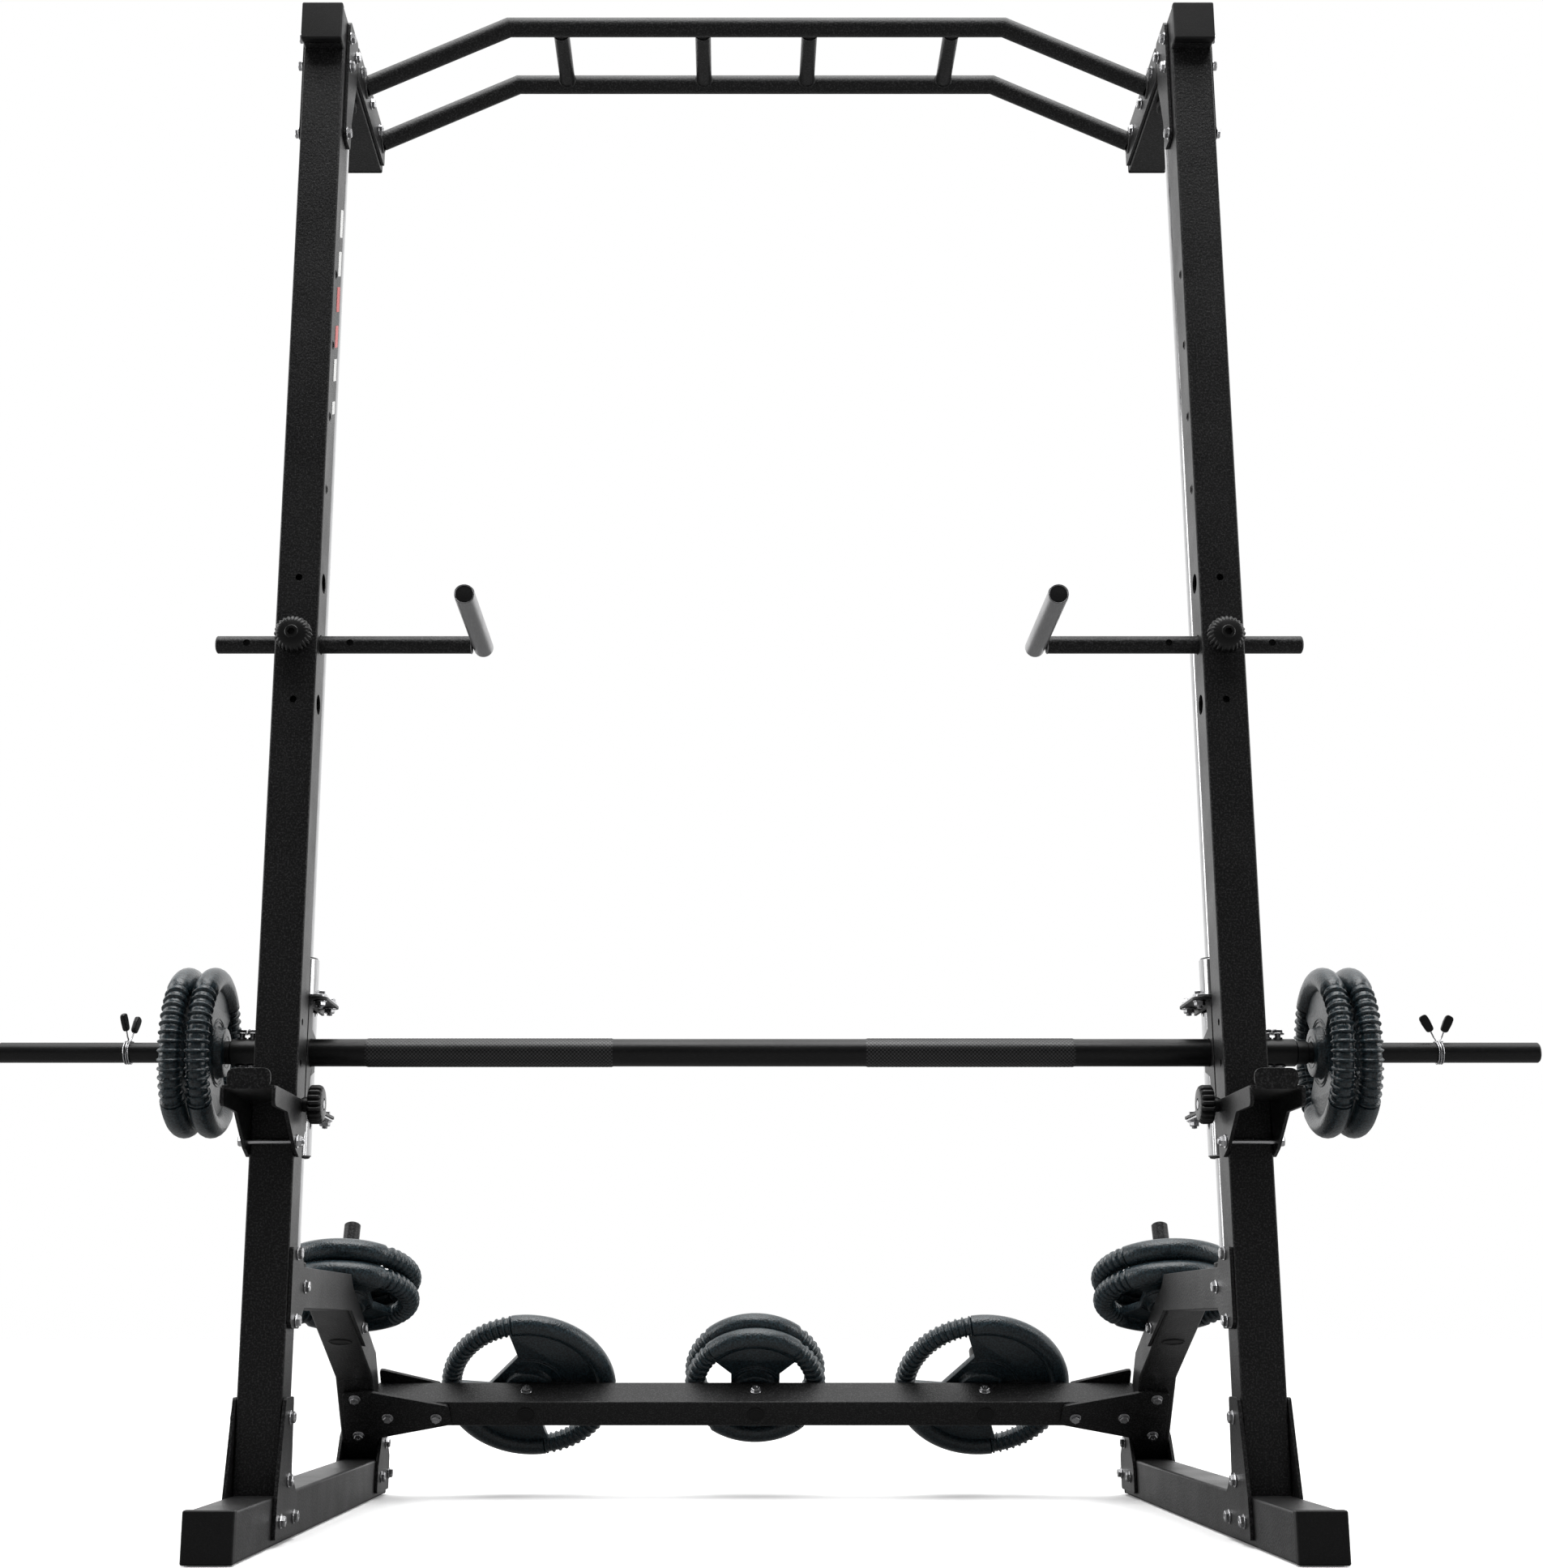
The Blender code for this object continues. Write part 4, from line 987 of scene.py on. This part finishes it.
# ---- dip handles ----
def dip_handle(side_name, side):
    """Cross-drilled rod with a plug in its far end, and a capped grip tube across its near end."""
    body = "dip_handle_" + side_name
    node = "dip_bar_" + side_name
    low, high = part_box(node)
    y, z = DATUM_Y, (low.z + high.z) / 2
    inner_x, outer_x = (high.x, low.x) if side < 0 else (low.x, high.x)
    shape = bmesh.new()
    rod(shape, (inner_x, y, z), (outer_x, y, z), 0.0125, 48, 0.0012)
    tool = bmesh.new()
    for number in (-1, 0, 1):
        x = side * (SIDE_X + number * 0.073)
        for way in (-1, 1):
            rod(tool, (x, y + way * 0.05, z), (x, y + way * 0.0065, z), 0.0048, 20, 0.0001)
    place_piece("dip_bar_rod_" + side_name, baked(mesh_of(shape, ["powder"]), tool), body, (node,))
    turned("dip_bar_end_" + side_name,
           [(0, -0.0005), (0.0098, -0.0005), (0.0098, 0.0004), (0.0088, 0.0011), (0, 0.0012)],
           [frame_on((side, 0, 0), (outer_x, y, z))], 32, "cap", body)
    node = "dip_grip_" + side_name
    low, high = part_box(node)
    x = (low.x + high.x) / 2
    shape = bmesh.new()
    tube(shape, (x, low.y, z), (x, high.y, z), 0.014, 0.0118, 48, 0.0007)
    weld_ring(shape, frame_on((-side, 0, 0), (inner_x + side * 0.0012, y, z)), 0.0120, 0.0012, 36)
    make_piece("dip_grip_tube_" + side_name, shape, "satin", body, (node,))
    sunk = 0.0016
    ends = [frame_on((0, way, 0), (x, end_y - way * sunk, z)) for end_y, way in ((low.y, -1), (high.y, 1))]
    turned("dip_grip_caps_" + side_name,
           [(0, -0.012), (0.0112, -0.012), (0.0116, -0.0006), (0.0131, -0.0004), (0.0131, 0.0002),
            (0.0122, 0.0009), (0.006, 0.0013), (0, 0.0014)], ends, 40, "cap", body)


def dip_knob(side_name):
    """Scalloped head with a domed face, a raised boss and a hexagon socket, on a short screw."""
    node = "dip_knob_" + side_name
    low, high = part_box(node)
    place = frame_on((0, 1, 0), ((low.x + high.x) / 2, low.y, (low.z + high.z) / 2))
    depth = 0.0022             # of the scallops
    profile = [(0, 0), (0.0085, 0), (0.0092, 0.0007), (0.0094, 0.0020), (0.0102, 0.0024), (0.0160, 0.0030),
               (0.0205, 0.0044, depth * 0.2), (0.0240, 0.0072, depth * 0.7), (0.0258, 0.0105, depth),
               (0.0262, 0.0150, depth), (0.0262, 0.0215, depth), (0.0250, 0.0240, depth * 0.8),
               (0.0200, 0.0255), (0.0140, 0.0262), (0.0128, 0.0285), (0.0128, 0.0355), (0, 0.0355)]
    shape = bmesh.new()
    lathe(shape, profile, place, 192, 24)
    socket = bmesh.new()
    lathe(socket, [(0, -0.002), (0.0056, -0.002), (0.0056, 0.0075), (0, 0.0075)], place, 6)
    mesh = baked(mesh_of(shape, ["knob"]), socket)
    place_piece("dip_knob_head_" + side_name, mesh, node, (node,), 28)
    length = high.y - low.y
    turned("dip_knob_screw_" + side_name, [(0, 0.0350), (0.0042, 0.0350), (0.0042, length), (0, length)],
           [place], 24, "zinc", node)


# ---- bar catches ----
def bar_catch(side_name, side):
    """Folded catch round an upright: two cheeks, a tray, a front lip, a pin boss and a bolt."""
    body = "bar_catch_" + side_name
    top, front_y, lip_top = 0.568, -0.195, 0.590
    bolt_y, bolt_z = -0.040, 0.510
    cheek = fillet(((front_y, top), (front_y, 0.546), (-0.187, 0.542), (-0.110, 0.542), (-0.046, 0.499),
                    (-0.022, 0.4905), (-0.010, 0.492), (0.018, 0.530), (0.018, top)), PLATE_CORNER)
    shape = bmesh.new()
    for x in (INNER_FACE + SHEET / 2, OUTER_FACE - SHEET / 2):
        slab(shape, cheek, side_plane(side * x), SHEET)
    half_x = (OUTER_FACE - INNER_FACE) / 2 - 0.001
    half_y = (-TUBE / 2 - GAP - front_y) / 2
    middle = at(side * SIDE_X, (front_y - TUBE / 2) / 2, top - SHEET / 2)
    slab(shape, fillet(rectangle(-half_x, -half_y, half_x, half_y), 0.003), Matrix.Translation(middle), SHEET)
    lip = rectangle(-0.028, top - 0.004, 0.028, lip_top)
    front = frame_on((0, -1, 0), at(side * SIDE_X, front_y + SHEET / 2, 0))
    slab(shape, fillet(lip, 0.011, 8), front, SHEET * 0.98, 0.0012)
    lathe(shape, [(0.0052, -0.001), (0.0088, -0.001), (0.0088, 0.0012), (0.0080, 0.0020), (0.0052, 0.0020),
                  (0.0052, -0.001)], frame_on((-side, 0, 0), at(side * INNER_FACE, PIN_Y, CATCH_PIN_Z)), 32)
    make_piece("bar_catch_sheet_" + side_name, shape, "powder", body, (body,))
    bolt = bmesh.new()
    start, end = [at(side * x, bolt_y, bolt_z) for x in (INNER_FACE + 0.001, OUTER_FACE - 0.001)]
    rod(bolt, start, end, 0.0038, 24, 0.0002)
    turns, per_turn, threaded = 22, 10, 0.46
    thread = []
    for k in range(turns * per_turn):
        angle = 2 * math.pi * k / per_turn
        thread.append(start + (end - start) * (threaded * k / (turns * per_turn))
                      + Vector((0, math.cos(angle), math.sin(angle))) * 0.0037)
    sweep(bolt, thread, 0.00045, 5)
    nut(bolt, frame_on((-side, 0, 0), at(side * INNER_FACE, bolt_y, bolt_z)))
    bolt_head(bolt, frame_on((side, 0, 0), at(side * OUTER_FACE, bolt_y, bolt_z)))
    make_piece("bar_catch_bolt_" + side_name, bolt, "zinc", body, sharp=30)


def catch_knob(side_name, side):
    """Scalloped head with a hexagon screw let into its face."""
    node = "catch_knob_" + side_name
    low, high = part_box(node)
    tip = low.x if side > 0 else high.x
    place = frame_on((side, 0, 0), (tip, (low.y + high.y) / 2, (low.z + high.z) / 2), (0, 1, 0))
    depth = 0.0034             # of the scallops
    shape = bmesh.new()
    lathe(shape, [(0, 0.0012), (0.0078, 0.0012), (0.0086, 0.0004), (0.0150, 0.0002), (0.0212, 0.0010),
                  (0.0238, 0.0024, depth * 0.4), (0.0256, 0.0046, depth * 0.9), (0.0262, 0.0070, depth),
                  (0.0262, 0.0160, depth), (0.0254, 0.0182, depth * 0.9), (0.0226, 0.0198, depth * 0.4),
                  (0.0130, 0.0202), (0.0102, 0.0212), (0.0102, 0.0262), (0.0096, 0.0282), (0, 0.0282)],
          place, 180, 18)
    before = len(shape.faces)
    lathe(shape, [(0, 0.0014), (0.0062, 0.0014), (0.0062, 0.0000), (0.0054, 0.0000), (0, 0.0006)], place, 6)
    mark(shape, before, 1)
    make_piece("catch_knob_head_" + side_name, shape, ["knob", "zinc"], node, (node,), 30)


for side_label, side_sign in SIDES:
    frame_side(side_label, side_sign)
    carriage_side(side_label, side_sign)
    spring_collar(side_label, math.radians(8 if side_sign > 0 else 74))
    dip_handle(side_label, side_sign)
    dip_knob(side_label)
    bar_catch(side_label, side_sign)
    catch_knob(side_label, side_sign)
crossmember()
pull_up_frame()
sticker()
bar()
all_plates()

# ---- floor, light and camera ----
scene = bpy.context.scene
WHITE = (1, 1, 1, 1)


def by_camera(tree, seen, unseen):
    """A shader that shows `seen` to the camera, and `unseen` to every other ray."""
    to_camera = add_node(tree, "LightPath", {}, "Is Camera Ray")
    return add_node(tree, "MixShader", {"Fac": to_camera, 1: unseen, 2: seen}, "Shader")


def add_floor():
    """A pale floor that throws little light back on the rack."""
    shape = bmesh.new()
    bmesh.ops.create_grid(shape, x_segments=1, y_segments=1, size=60,
                          matrix=Matrix.Translation((0, 0, -0.0015)))
    mesh = bpy.data.meshes.new("floor")
    shape.to_mesh(mesh)
    shape.free()
    look, tree, shader = new_material("pale_floor")
    feed(tree, shader, {"Base Color": (0.96, 0.96, 0.96, 1), "Roughness": 0.9, "Specular IOR Level": 0.1,
                        "Emission Color": WHITE, "Emission Strength": 0.12})
    dim = add_node(tree, "BsdfDiffuse", {"Color": (0.22, 0.22, 0.22, 1)}, "BSDF")
    feed(tree, tree.nodes["Material Output"], {"Surface": by_camera(tree, shader.outputs["BSDF"], dim)})
    mesh.materials.append(look)
    floor_object = bpy.data.objects.new("floor", mesh)
    scene.collection.objects.link(floor_object)


def add_world():
    """White to the camera. Other rays get light that grows from the front to the back."""
    world = bpy.data.worlds.new("studio")
    world.use_nodes = True
    scene.world = world
    tree = world.node_tree
    tree.nodes.clear()
    heading = add_node(tree, "TexCoord", {}, "Generated")
    depth = add_node(tree, "SeparateXYZ", {"Vector": heading}, "Y")
    fade = add_node(tree, "MapRange", {"Value": depth, "From Min": -0.55, "From Max": 0.85,
                                       "To Min": 0.10, "To Max": 1.3})
    fade.interpolation_type = "SMOOTHSTEP"
    lit = add_node(tree, "Background", {"Color": WHITE, "Strength": fade.outputs["Result"]}, "Background")
    seen = add_node(tree, "Background", {"Color": WHITE, "Strength": 1.0}, "Background")
    add_node(tree, "OutputWorld", {"Surface": by_camera(tree, seen, lit)})


def soft_light(name, place, target, size, power):
    lamp = bpy.data.lights.new(name, "AREA")
    lamp.shape = "RECTANGLE"
    lamp.size, lamp.size_y = size
    lamp.energy = power
    obj = bpy.data.objects.new(name, lamp)
    obj.location = place
    obj.rotation_euler = (Vector(target) - Vector(place)).to_track_quat("-Z", "Y").to_euler()
    scene.collection.objects.link(obj)


add_floor()
add_world()
soft_light("overhead", (0.0, -1.2, 4.4), (0, 0, 0.6), (3.6, 2.4), 120)
for bank, bank_x in (("left_bank", -3.6), ("right_bank", 3.6)):
    soft_light(bank, (bank_x, -0.4, 1.9), (0, 0, 1.0), (1.6, 3.0), 60)
sky = bpy.data.lights.new("even_top", "SUN")
sky.energy = 1.7
sky.angle = math.radians(60)
scene.collection.objects.link(bpy.data.objects.new("even_top", sky))

lens = bpy.data.cameras.new("view")
lens.sensor_fit = "AUTO"
lens.sensor_width = 36.0
lens.lens = 51.56
lens.shift_x = 0.0253
lens.clip_end = 200
view = bpy.data.objects.new("view", lens)
view.location = at(-0.039, -3.0453, 0.2671)
view.rotation_euler = (math.radians(90 + 13.66), 0, 0)
scene.collection.objects.link(view)
scene.camera = view
scene.view_settings.view_transform = "Standard"
